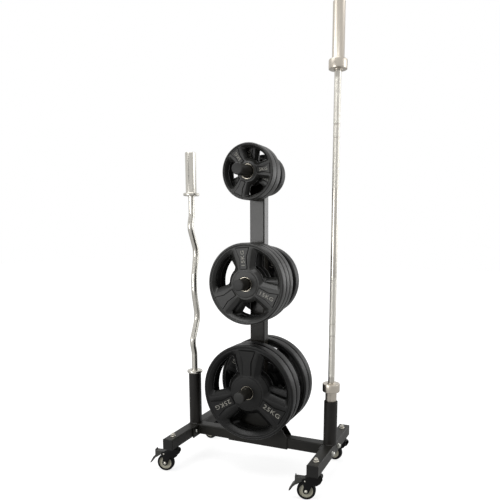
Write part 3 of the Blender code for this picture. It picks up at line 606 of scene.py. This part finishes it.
# Side view of the pedal from its pin, and the radius at each corner
PEDAL_CORNERS = (
    (0.0065, -0.0025, 0.0020), (0.0065, 0.0115, 0.0030), (-0.0380, 0.0130, 0.0010),
    (-0.0397, 0.0190, 0.0006), (-0.0425, 0.0190, 0.0006), (-0.0430, -0.0100, 0.0030),
    (-0.0530, -0.0190, 0.0080), (-0.0690, -0.0470, 0.0006), (-0.0660, -0.0495, 0.0006),
    (-0.0600, -0.0440, 0.0030), (-0.0500, -0.0290, 0.0080), (-0.0400, -0.0205, 0.0060),
    (-0.0310, -0.0158, 0.0060), (-0.0220, -0.0090, 0.0040), (-0.0120, -0.0040, 0.0030),
)
PEDAL_SIDE = rounded([(PIN[0] + a, PIN[1] + b) for a, b, _ in PEDAL_CORNERS],
                     [r for _, _, r in PEDAL_CORNERS])
# Turned profiles: lock nut's washer, the nut, the stem's end in it, and the race
NUT_WASHER = [(0.0105, 0.0), (0.0125, 0.0), (0.0125, 0.0015), (0.0118, 0.0022), (0.0, 0.0022), (0.0, 0.0)]
LOCK_NUT = [(0.0, 0.0105), (0.0090, 0.0105), (0.0105, 0.0095), (0.0105, 0.0024), (0.0, 0.0024)]
STEM_END = [(0.0, 0.0150), (0.0048, 0.0150), (0.0058, 0.0140), (0.0058, 0.0106), (0.0075, 0.0106),
            (0.0072, 0.0090), (0.0, 0.0090)]
STEM = [(0.0, RAIL_LOW + 0.004), (0.0058, RAIL_LOW + 0.004), (0.0058, 0.1076), (0.0090, 0.1074),
        (0.0098, 0.1060), (0.0090, 0.1030), (0.0, 0.1028)]
RACE = [(0.0062, 0.1186), (0.0222, 0.1186), (0.0226, 0.1182), (0.0226, 0.1168), (0.0214, 0.1160),
        (0.0214, 0.1152), (0.0238, 0.1144), (0.0244, 0.1136), (0.0244, 0.1120), (0.0238, 0.1114),
        (0.0062, 0.1114)]
# Axle bolt's flanged head with its shank, the nut behind, and the rivets, from the cheek's face
AXLE_HEAD = [(0.0, 0.0056), (0.0026, 0.0053), (0.0046, 0.0044), (0.0060, 0.0026), (0.0066, 0.0014),
             (0.0071, 0.0012), (0.0071, GAP), (0.0040, GAP)]
AXLE = [(r, FORK_HALF + h) for r, h in AXLE_HEAD] + [(0.0040, -FORK_HALF - GAP), (0.0, -FORK_HALF - GAP)]
AXLE_NUT = [(r, -FORK_HALF - h) for r, h in ((0.0, GAP), (0.0070, GAP), (0.0070, 0.0044), (0.0060, 0.0055),
                                             (0.0, 0.0055))]
RIVET = [(0.0, 0.0016), (0.0018, 0.0013), (0.0030, 0.0004), (0.0032, GAP), (0.0, GAP)]
# Front halves of the wheel centre's and the tyre's sections
WEB = [(0.0042, 0.0134), (0.0090, 0.0134), (0.0098, 0.0128), (0.0108, 0.0070), (0.0122, 0.0060),
       (0.0254, 0.0064), (0.0266, 0.0076), (0.0272, 0.0100), (0.0278, 0.0109), (0.0289, 0.0109)]
CROWN = [(0.0293, 0.0110), (0.0299, 0.0120), (0.0330, 0.0125), (0.0366, 0.0122), (0.0382, 0.0108),
         (0.0392, 0.0090), (0.0398, 0.0068), (0.0400, 0.0036)]
fork_black = black_plated("black_plated_fork", "121212", 0.42)
race_black = black_plated("black_plated_race", "1c1c1b", 0.42)
pedal_black = black_plated("black_plated_pedal", "4a4a48", 0.36, 0.6)
axle_zinc = bright_zinc("bright_zinc_axle", "bcb9b0", 0.32)
tyre_black = tyre_rubber("black_tyre_rubber", "0b0b0b", "161616")
wheel_grey = moulded_plastic("khaki_grey_wheel_plastic", "b9b6a6", 0.42)
for end, sign in ENDS:
    for side, x in SIDES:
        name = f"{end}_{side}"
        y = sign * STEM_Y
        swing = (Matrix.Translation((x, y, 0)) @ Matrix.Rotation(-sign * CASTER_TURN, 4, "Z")
                 @ Matrix.Translation((-x, -y, 0)))
        # Pressed fork: two cheeks and a head, bent from one sheet, open below the head
        bm = prism(FORK_SIDE, FORK_HALF, (x, y))
        shut = [f for f in bm.faces if abs(f.normal.y) < 0.5
                and (f.normal.z < 0.35 or f.calc_center_median().z < HEAD_LOW)]
        bmesh.ops.delete(bm, geom=shut, context="FACES_ONLY")
        bends = [e for e in bm.edges if len(e.link_faces) == 2 and abs(e.link_faces[0].normal.y)
                 + abs(e.link_faces[1].normal.y) > 0.9 and e.calc_face_angle() > 1.0]
        bmesh.ops.bevel(bm, geom=bends, offset=FORK_BEND, segments=4, profile=0.5, affect="EDGES",
                        material=-1)
        bmesh.ops.delete(bm, geom=[e for e in bm.edges if not e.link_faces], context="EDGES")
        bmesh.ops.transform(bm, matrix=swing, verts=bm.verts)
        fork = piece(f"pressed_fork_{name}", bm, fork_black)
        sheet_metal(fork, FORK_SHEET, FORK_EDGE)
        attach(fork, f"caster_{name}")
        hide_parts(f"caster_fork_{name}")
        # Race, stem, washer and lock nut with the stem's end standing out of it
        axis = Matrix.Translation((x, y, 0))
        above = Matrix.Translation((x, y, RAIL_TOP + GAP))
        stem = turned(f"stem_and_nut_{name}", axle_zinc, (NUT_WASHER, above, 40), (LOCK_NUT, above, 6),
                      (STEM_END, above, 28), (STEM, axis, 28))
        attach(stem, "frame")
        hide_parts(f"caster_stem_{name}")
        race = turned(f"swivel_race_{name}", race_black, (RACE, axis, 56, CLOSED))
        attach(race, "frame")
        # Axle bolt with a flanged head in front and a nut behind
        hub = swing @ facing((0, -1, 0), (x - TRAIL, y, WHEEL_R))
        axle = turned(f"axle_bolt_{name}", axle_zinc, (AXLE, hub, 32), (AXLE_NUT, hub, 6))
        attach(axle, f"caster_{name}")
        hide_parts(f"caster_axle_{name}")
        # Rivet in both cheeks above the wheel, in front the ends of the pedal's pin
        bm = bmesh.new()
        for face_sign in (-1, 1):
            cheek = facing((0, face_sign, 0), (x + PIN[0], y + face_sign * FORK_HALF, PIN[1]))
            turn(bm, RIVET, swing @ cheek, 20)
        rivets = piece(f"fork_rivets_{name}" if sign > 0 else f"pedal_pin_{side}", bm, axle_zinc)
        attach(rivets, f"caster_{name}" if sign > 0 else f"pedal_{side}")
        # Moulded wheel centre: rim, dished web and hub
        centre = turned(f"wheel_centre_{name}", wheel_grey, (both_faces(WEB), hub, 64, CLOSED))
        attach(centre, f"wheel_{name}")
        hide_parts(f"caster_wheel_{name}")
        tyre = turned(f"tyre_{name}", tyre_black, (both_faces(CROWN), hub, 72, CLOSED))
        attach(tyre, f"wheel_{name}")
        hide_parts(f"caster_tyre_{name}")
        if sign > 0:
            continue
        # Brake pedal: a formed lever between the cheeks that ends in a long tongue
        bm = prism(PEDAL_SIDE, PEDAL_HALF, (x, y))
        bmesh.ops.transform(bm, matrix=swing, verts=bm.verts)
        pedal = piece(f"sheet_pedal_{side}", bm, pedal_black)
        ease_edges(pedal, "rolled_edge", PEDAL_EDGE, 3)
        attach(pedal, f"pedal_{side}")
        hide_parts(f"brake_pedal_{side}")


# Weight plates: cast iron discs in a thick matt black rubber coat, with three grip windows
# whose edges slope in on both faces. Raised pads on the spokes carry the weight in white
# numerals, and a steel bush lines the bore.
GRIP_ROUGHNESS = 0.27


def plate_rubber(name, dark, light, roughness, gloss):
    """Vulcanised rubber coat: matt black, faintly mottled, with a very fine grain."""
    rubber, tree, shader, spot = painted(name, Specular_IOR_Level=gloss)
    # The mottle is 35 mm wide, and the grain 1.2 mm, coarser than the real 0.3 mm to show
    mottle = noise(tree, spot, 0.035, 5.0, Roughness=0.6)
    grain = noise(tree, spot, 0.0012, 2.0)
    # The flared walls of the hand grips come out of the mould smoother than the flat faces
    way = add(tree, "ShaderNodeSeparateXYZ", links={"Vector": spot.node.outputs["Normal"]})
    slant = compute(tree, "ABSOLUTE", way.outputs["Y"])
    flare = add(tree, "ShaderNodeValToRGB", links={"Fac": slant})
    for step, place in zip(flare.color_ramp.elements, (0.10, 0.95)):
        step.position, step.color = place, tint("000000")
    for place in (0.25, 0.85):
        flare.color_ramp.elements.new(place).color = tint("ffffff")
    rough = add(tree, "ShaderNodeMapRange", To_Max=GRIP_ROUGHNESS, links={
        "Value": flare.outputs["Color"], "To Min": spread(tree, mottle, roughness - 0.06, roughness + 0.06)})
    join(tree, shader, {"Base Color": shades(tree, mottle, dark, light, 0.32, 0.68),
                        "Roughness": rough.outputs["Result"],
                        "Normal": relief(tree, grain, 0.35, 0.0002)})
    return rubber


def numeral_paint(name, dark, light):
    """Screen printed white ink on rubber: matt and a little uneven."""
    ink, tree, shader, spot = painted(name, Roughness=0.55)
    join(tree, shader, {"Base Color": shades(tree, noise(tree, spot, 0.003, 3.0), dark, light)})
    return ink


def ring(bm, points, z):
    """Closed loop of edges at one height."""
    verts = [bm.verts.new((x, y, z)) for x, y in points]
    return [bm.edges.new((verts[i], verts[(i + 1) % len(verts)])) for i in range(len(verts))]


def window(radius, share, middle):
    """Grip window outline between its mouth, share 0, and its narrowest edge, share 1."""
    mix = [a + (b - a) * share for a, b in zip(WINDOW_MOUTH, WINDOW_HOLE)]
    near, far = mix[0] * radius, mix[1] * radius
    far_angle, near_angle = math.radians(mix[2]), math.radians(mix[3])
    far_steps, near_steps = 12, 6
    points = [polar(far, middle + far_angle * k / far_steps) for k in range(-far_steps, far_steps + 1)]
    points += [polar(near, middle + near_angle * k / near_steps)
               for k in range(near_steps, -near_steps - 1, -1)]
    corner = (0.055 + 0.045 * share) * radius
    ends = {0, 2 * far_steps, 2 * far_steps + 1, len(points) - 1}
    # The arcs' points next to a rounded corner are dropped, so the corner's arc has room
    keep = [i for i in range(len(points)) if i in ends or all(abs(i - e) > 2 for e in ends)]
    return rounded([points[i] for i in keep], [corner if i in ends else 0.0 for i in keep], 6)


def pad(radius, angle, inset):
    """Raised pad of one spoke: parallel sides that flare out towards the rim."""
    u0, u1, u2 = 0.365 * radius + inset, 0.64 * radius, 0.880 * radius - inset
    w0, w1 = 0.092 * radius - inset, 0.180 * radius - inset
    side = rounded([(u0, -w0), (u1, -w0), (u2, -w1), (u2, w1), (u1, w0), (u0, w0)],
                   [share * radius for share in (0.02, 0.12, 0.012, 0.012, 0.12, 0.02)], 5)
    c, s = math.cos(angle), math.sin(angle)
    return [(u * c - v * s, u * s + v * c) for u, v in side]


def circle(radius, count):
    """Points evenly spaced around a circle."""
    return [polar(radius, 2 * math.pi * k / count) for k in range(count)]


WEB_SUNK = 0.0024
MOAT_DEEP, PAD_HIGH, PAD_SLOPE = 0.0016, 0.0022, 0.0018


def rubber_disc(radius, thickness, spoke):
    """Both faces of a plate: rim, web with windows and pads, and hub, closed all round."""
    bm = bmesh.new()
    face = thickness / 2
    web = face - WEB_SUNK
    count = 96
    hub = 0.335 * radius
    groove = 0.925 * radius
    loops = ring(bm, circle(groove, count), web) + ring(bm, circle(hub, count), web)
    for k in range(3):
        angle = math.radians(spoke + 120 * k)
        # Pad: a moulded groove all round it, its wall and its flat top
        moat = ring(bm, pad(radius, angle, -0.013 * radius), web)
        foot = ring(bm, pad(radius, angle, 0.0), web - MOAT_DEEP)
        top = ring(bm, pad(radius, angle, PAD_SLOPE), web + PAD_HIGH)
        loops += moat
        bmesh.ops.bridge_loops(bm, edges=moat + foot)
        bmesh.ops.bridge_loops(bm, edges=foot + top)
        bmesh.ops.contextual_create(bm, geom=list({v for e in top for v in e.verts}))
        # Window: a rounded lip, a long slope and a narrow waist at half thickness
        steps = ((0.0, web), (0.05, web - 0.0005), (0.12, web - 0.0018), (0.86, 0.20 * face + 0.003),
                 (0.95, 0.20 * face), (1.0, 0.14 * face), (1.0, 0.0))
        rings = [ring(bm, window(radius, share, angle + math.radians(60)), z) for share, z in steps]
        loops += rings[0]
        for a, b in zip(rings, rings[1:]):
            bmesh.ops.bridge_loops(bm, edges=a + b)
    bmesh.ops.triangle_fill(bm, edges=loops, use_beauty=True)
    rim = [(groove, web), (groove + 0.0012, web - 0.0006), (0.9425 * radius, face - 0.0012),
           (0.955 * radius, face - 0.0002), (0.966 * radius, face)]
    round_r = 0.034 * radius + 0.002
    for a in range(0, 91, 15):
        rim.append((radius - round_r + round_r * math.sin(math.radians(a)),
                    face - round_r + round_r * math.cos(math.radians(a))))
    rim.append((radius, 0.0))
    turn(bm, rim, steps=count)
    core = [(hub, web), (hub - 0.0016, web + 0.0010), (hub - 0.0030, face - 0.0003), (hub - 0.0045, face),
            (0.0326, face), (0.0310, face - 0.0012), (0.0310, face - 0.0040), (0.0288, face - 0.0040),
            (0.0288, 0.0)]
    turn(bm, core, steps=count)
    bmesh.ops.remove_doubles(bm, verts=bm.verts, dist=2e-5)
    bmesh.ops.mirror(bm, geom=bm.verts[:] + bm.edges[:] + bm.faces[:], axis="Z", merge_dist=2e-5)
    bmesh.ops.remove_doubles(bm, verts=bm.verts, dist=2e-5)
    bmesh.ops.recalc_face_normals(bm, faces=bm.faces)
    return bm


def as_mesh(curve):
    """Mesh of a curve or a text, whose own object doesn't stay."""
    holder = new_object(curve.name, curve)
    bpy.context.view_layer.update()
    mesh = bpy.data.meshes.new_from_object(holder.evaluated_get(bpy.context.evaluated_depsgraph_get()))
    bpy.data.objects.remove(holder, do_unlink=True)
    return mesh


def lettering(words, length, height, depth):
    """Numerals as a mesh of one size, centred and lying in the XY plane."""
    text = bpy.data.curves.new(words, "FONT")
    text.body = words
    text.size = height
    text.offset = 0.004 * height
    text.extrude = depth / 2
    text.space_character = 1.12
    text.resolution_u = 4
    mesh = as_mesh(text)
    low = [min(v.co[i] for v in mesh.vertices) for i in range(3)]
    high = [max(v.co[i] for v in mesh.vertices) for i in range(3)]
    centre = Vector([(a + b) / 2 for a, b in zip(low, high)])
    size = Matrix.Diagonal((length / (high[0] - low[0]), height / (high[1] - low[1]), 1.0, 1.0))
    mesh.transform(size @ Matrix.Translation(-centre))
    return mesh


# Inner and outer edge as shares of the plate's radius, then half angles in degrees at the rim
# and at the hub
WINDOW_MOUTH = (0.372, 0.912, 43.5, 37.5)
WINDOW_HOLE = (0.460, 0.832, 35.5, 26.0)
PLATE_DROP = 0.0012
PLATE_SPACE = 0.0005
INK_THICK, INK_SUNK, INK_CENTRE = 0.0006, 0.0002, 0.632
BUSH_SUNK = 0.0006
# Kilograms: radius, thickness, length and height of the numerals, and the spokes that carry them
DISCS = {
    "25": (0.217, 0.050, 0.086, 0.0200, (1, 2)),
    "15": (0.176, 0.040, 0.064, 0.0160, (0, 2)),
    "10": (0.158, 0.050, 0.058, 0.0150, (0, 2)),
    "5": (0.117, 0.045, 0.036, 0.0125, (0, 2)),
    "2.5": (0.090, 0.045, 0.032, 0.0095, (0, 2)),
}
# Kilograms, level, end, gap from the upright's face, and each plate's place and first spoke
STACKS = (
    ("25", LOW_Z, "front", 0.012, (("_inner", 100.0), ("_outer", 90.0))),
    ("25", LOW_Z, "rear", 0.008, (("_inner", 28.0), ("_outer", 48.0))),
    ("15", MIDDLE_Z, "front", 0.006, (("_inner", 97.0), ("_middle", 107.0), ("_outer", 95.0))),
    ("10", MIDDLE_Z, "rear", 0.023, (("", 60.0),)),
    ("5", TOP_Z, "front", 0.010, (("_inner", 97.0), ("_outer", 125.0))),
    ("2.5", TOP_Z, "rear", 0.018, (("", 100.0),)),
)
# The 15 and 5 kg plates are a greyer copy of the same rubber, painted lighter to stand in for the stronger
# light on them, with more sheen
disc_rubber = plate_rubber("black_plate_rubber", "101010", "171716", 0.46, 0.20)
lighter_painted_rubber = plate_rubber("bloomed_plate_rubber", "232322", "2e2e2c", 0.45, 0.36)
white_ink = numeral_paint("white_numeral_ink", "77756e", "a5a298")
bush_steel = bright_zinc("turned_steel_bush", "c4bdae", 0.30)
for kilos, level, end, start, stack in STACKS:
    radius, thickness, words_long, words_high, marked = DISCS[kilos]
    sign = -1 if end == "front" else 1
    words = lettering(f"{kilos}KG", words_long, words_high, INK_THICK)
    for k, (order, spoke) in enumerate(stack):
        name = f"plate_{kilos}_{end}{order}".replace(".", "_")
        y = sign * (UPRIGHT_Y + start + thickness / 2 + k * (thickness + PLATE_SPACE))
        place = Matrix.Translation((STAND_X, y, level - PLATE_DROP)) @ Matrix.Rotation(math.pi / 2, 4, "X")
        bm = rubber_disc(radius, thickness, spoke)
        bmesh.ops.transform(bm, matrix=place, verts=bm.verts)
        # The 15 and 5 kg plates take the rubber copy whose colour is painted lighter for the light on them
        coat = piece(f"rubber_{name}", bm, lighter_painted_rubber if kilos in ("15", "5") else disc_rubber)
        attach(coat, name)
        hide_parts(name)
        bm = bmesh.new()
        for back in (0, 1):
            for index in marked:
                angle = spoke + 120 * index
                flip = Matrix.Rotation(math.pi * back, 4, "Y")
                swing = Matrix.Rotation(math.radians(180 - angle if back else angle), 4, "Z")
                lie = Matrix.Translation((INK_CENTRE * radius, 0, thickness / 2 - INK_SUNK))
                here = words.copy()
                here.transform(place @ flip @ swing @ lie)
                bm.from_mesh(here)
                bpy.data.meshes.remove(here)
        ink = piece(f"numerals_{name}", bm, white_ink)
        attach(ink, name)
        face = thickness / 2 - BUSH_SUNK
        lining = [(0.0284, face - 0.0032), (0.0306, face - 0.0030), (0.0306, face - 0.0010),
                  (0.0303, face - 0.0006), (0.0292, face - 0.0006), (0.0287, face - 0.0012),
                  (0.0258, face - 0.0090)]
        bush = turned(f"bush_{name}", bush_steel, (both_faces(lining), place, 72, CLOSED))
        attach(bush, name)


# Straight bar: a 28 mm chromed shaft with cut knurl on both sides of a smooth middle, and two
# 50 mm sleeves that turn on it against wide collars.
def chrome(name, color, roughness):
    """Hard chrome on ground steel: warm bright metal with faint lengthwise haze."""
    metal, tree, shader, spot = painted(name, Base_Color=tint(color), Metallic=1.0)
    shape = add(tree, "ShaderNodeMapping", links={"Vector": spot})
    shape.inputs["Scale"].default_value = (1.0, 1.0, 0.06)
    haze = noise(tree, shape.outputs["Vector"], 0.005, 4.0)
    join(tree, shader, {"Roughness": spread(tree, haze, roughness - 0.04, roughness + 0.06)})
    return metal


# Spiral cuts around the bar each way, and the cuts' spacing along it
KNURL_STARTS, KNURL_PITCH = 28.0, 0.0031


def knurl(name, color, roughness, x):
    """Chromed knurl: crossed spiral cuts about 3 mm apart, coarser than the real 1.5 mm to show."""
    metal = chrome(name, color, roughness)
    tree = metal.node_tree
    place = add(tree, "ShaderNodeTexCoord")
    middle = add(tree, "ShaderNodeMapping", links={"Vector": place.outputs["Object"]})
    middle.inputs["Location"].default_value = (-x, 0.0, 0.0)
    parts = add(tree, "ShaderNodeSeparateXYZ", links={"Vector": middle.outputs["Vector"]}).outputs
    around = compute(tree, "ARCTAN2", parts["Y"], parts["X"])
    cuts = [compute(tree, "SINE", compute(tree, "MULTIPLY_ADD", parts["Z"], 2 * math.pi / KNURL_PITCH,
                                          compute(tree, "MULTIPLY", around, KNURL_STARTS * way)))
            for way in (-1.0, 1.0)]
    cross = compute(tree, "MINIMUM", *cuts)
    join(tree, tree.nodes["Principled BSDF"], {"Normal": relief(tree, cross, 0.55, 0.0003)})
    return metal


SLEEVE_R, BAR_R = 0.025, 0.014
BAR_X = STAND_X + RAIL_X
BAR_FOOT = RAIL_TOP + GAP + POSTS["right"][1] + GAP
BAR_INSET, BAR_EDGE = 0.004, 0.0012
BAR_SLEEVE, BAR_COLLAR, BAR_COLLAR_R, BAR_GRIP = 0.215, 0.041, 0.038, 1.295
grip_low = BAR_FOOT + BAR_SLEEVE + BAR_COLLAR
grip_high = grip_low + BAR_GRIP
sleeve_chrome = chrome("chromed_sleeve", "bcb5aa", 0.30)
smooth_chrome = chrome("chromed_shaft", "b8b4ac", 0.28)
bar_knurl = knurl("chromed_knurl_straight_bar", "c2bfb7", 0.30, BAR_X)


def sleeves(kind, body, material, x, low, high, length, collar, collar_r):
    """Both turning sleeves of a bar, each with a collar, a chamfered end and a recessed bore."""
    profile = [(0.0144, collar), (0.0185, collar), (0.0190, collar - 0.0008), (0.0190, collar - 0.0020),
               (collar_r - 0.0030, collar - 0.0020), (collar_r - 0.0008, collar - 0.0032),
               (collar_r, collar - 0.0055), (collar_r, 0.0055), (collar_r - 0.0008, 0.0028),
               (collar_r - 0.0030, 0.0012), (SLEEVE_R + 0.0022, 0.0012), (SLEEVE_R + 0.0006, 0.0),
               (SLEEVE_R, -0.0010), (SLEEVE_R, 0.0020 - length), (SLEEVE_R - 0.0020, -length),
               (0.0196, -length), (0.0188, -length + 0.0010), (0.0188, -length + 0.0060),
               (0.0144, -length + 0.0060)]
    for level, z, flip in (("low", low, 0.0), ("top", high, math.pi)):
        place = Matrix.Translation((x, 0, z)) @ Matrix.Rotation(flip, 4, "X")
        tube = turned(f"chrome_sleeve_{kind}_{level}", material, (profile, place, 72, CLOSED))
        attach(tube, f"{body}_sleeve_{level}")
        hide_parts(f"{body}_sleeve_{level}")


sleeves("straight", "barbell", sleeve_chrome, BAR_X, grip_low - BAR_COLLAR, grip_high + BAR_COLLAR,
        BAR_SLEEVE, BAR_COLLAR, BAR_COLLAR_R)
# Two ring marks in each half's knurl: their depth, half widths and places from the collar
MARK, MARK_HALF, MARK_FLAT = 0.0007, 0.0030, 0.0024
RING_A, RING_B = 0.210, 0.262
KNURL_START, SMOOTH_HALF, SKIN = 0.028, 0.186, 0.0002
bar_end = BAR_FOOT + BAR_INSET
bar_top = grip_high + BAR_COLLAR + BAR_SLEEVE - BAR_INSET
middle_z = (grip_low + grip_high) / 2
bar_axis = Matrix.Translation((BAR_X, 0, 0))
marks = [grip_low + RING_A, grip_low + RING_B, grip_high - RING_B, grip_high - RING_A]
profile = [(0.0, bar_end), (BAR_R - BAR_EDGE, bar_end), (BAR_R, bar_end + BAR_EDGE)]
for z in marks:
    profile += [(BAR_R, z - MARK_HALF), (BAR_R - MARK, z - MARK_FLAT), (BAR_R - MARK, z + MARK_FLAT),
                (BAR_R, z + MARK_HALF)]
profile += [(BAR_R, bar_top - BAR_EDGE), (BAR_R - BAR_EDGE, bar_top), (0.0, bar_top)]
shaft = turned("chrome_shaft_straight", smooth_chrome, (profile, bar_axis, 56))
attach(shaft, "barbell")
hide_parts("barbell_shaft")
# Knurled lengths as a thin skin of their own on the shaft
bm = bmesh.new()
breaks = [(z - MARK_HALF, z + MARK_HALF) for z in marks]
breaks.insert(2, (middle_z - SMOOTH_HALF, middle_z + SMOOTH_HALF))
starts = [grip_low + KNURL_START] + [high for _, high in breaks]
stops = [low for low, _ in breaks] + [grip_high - KNURL_START]
for low, high in zip(starts, stops):
    skin = [(BAR_R - SKIN, high), (BAR_R + SKIN, high - 0.0006), (BAR_R + SKIN, low + 0.0006),
            (BAR_R - SKIN, low)]
    turn(bm, skin, bar_axis, 56, CLOSED)
grip = piece("knurl_straight", bm, bar_knurl)
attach(grip, "barbell")


# Curl bar: a shorter chromed bar whose grip bends to and fro in one plane. Its lower collar
# rests on the left post's rim and its sleeve hangs inside.
CURL_X = STAND_X - RAIL_X
curl_chrome = chrome("chromed_curl_bar", "c2bfb7", 0.24)
CURL_SLEEVE, CURL_COLLAR, CURL_COLLAR_R, CURL_GRIP = 0.181, 0.016, 0.037, 0.828
CURL_BEND_R = 0.055
# Corners of the grip's upper half: height above its middle, and how far it leans to the rear
CURL_BENDS = ((0.030, 0.010), (0.050, 0.012), (0.135, 0.031), (0.170, 0.031), (0.262, -0.012),
              (0.288, -0.012), (0.330, 0.000))
rim_z = RAIL_TOP + 2 * GAP + POSTS["left"][0]
curl_low = rim_z + CURL_COLLAR
curl_high = curl_low + CURL_GRIP
curl_middle = (curl_low + curl_high) / 2
sleeves("curl", "curl_bar", curl_chrome, CURL_X, rim_z, curl_high + CURL_COLLAR,
        CURL_SLEEVE, CURL_COLLAR, CURL_COLLAR_R)
reach = CURL_GRIP / 2 + CURL_COLLAR + CURL_SLEEVE - BAR_INSET
half_route = list(CURL_BENDS) + [(CURL_GRIP / 2, 0.0), (reach, 0.0)]
route = [(-z, y) for z, y in reversed(half_route)] + half_route
path = rounded([(y, z) for z, y in route], [0.0] + [CURL_BEND_R] * (len(route) - 2) + [0.0], 6)
wire = bpy.data.curves.new("chrome_shaft_curl", "CURVE")
wire.dimensions = "3D"
wire.bevel_depth = BAR_R
wire.bevel_resolution = 14
wire.use_fill_caps = True
spline = wire.splines.new("POLY")
spline.points.add(len(path) - 1)
for point, (y, z) in zip(spline.points, path):
    point.co = (CURL_X, y, curl_middle + z, 1.0)
spline.use_smooth = True
bm = bmesh.new()
bm.from_mesh(as_mesh(wire))
bmesh.ops.remove_doubles(bm, verts=bm.verts, dist=1e-6)
bmesh.ops.recalc_face_normals(bm, faces=bm.faces)
shaft = piece("chrome_shaft_curl", bm, curl_chrome)
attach(shaft, "curl_bar")
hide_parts("curl_bar_shaft")
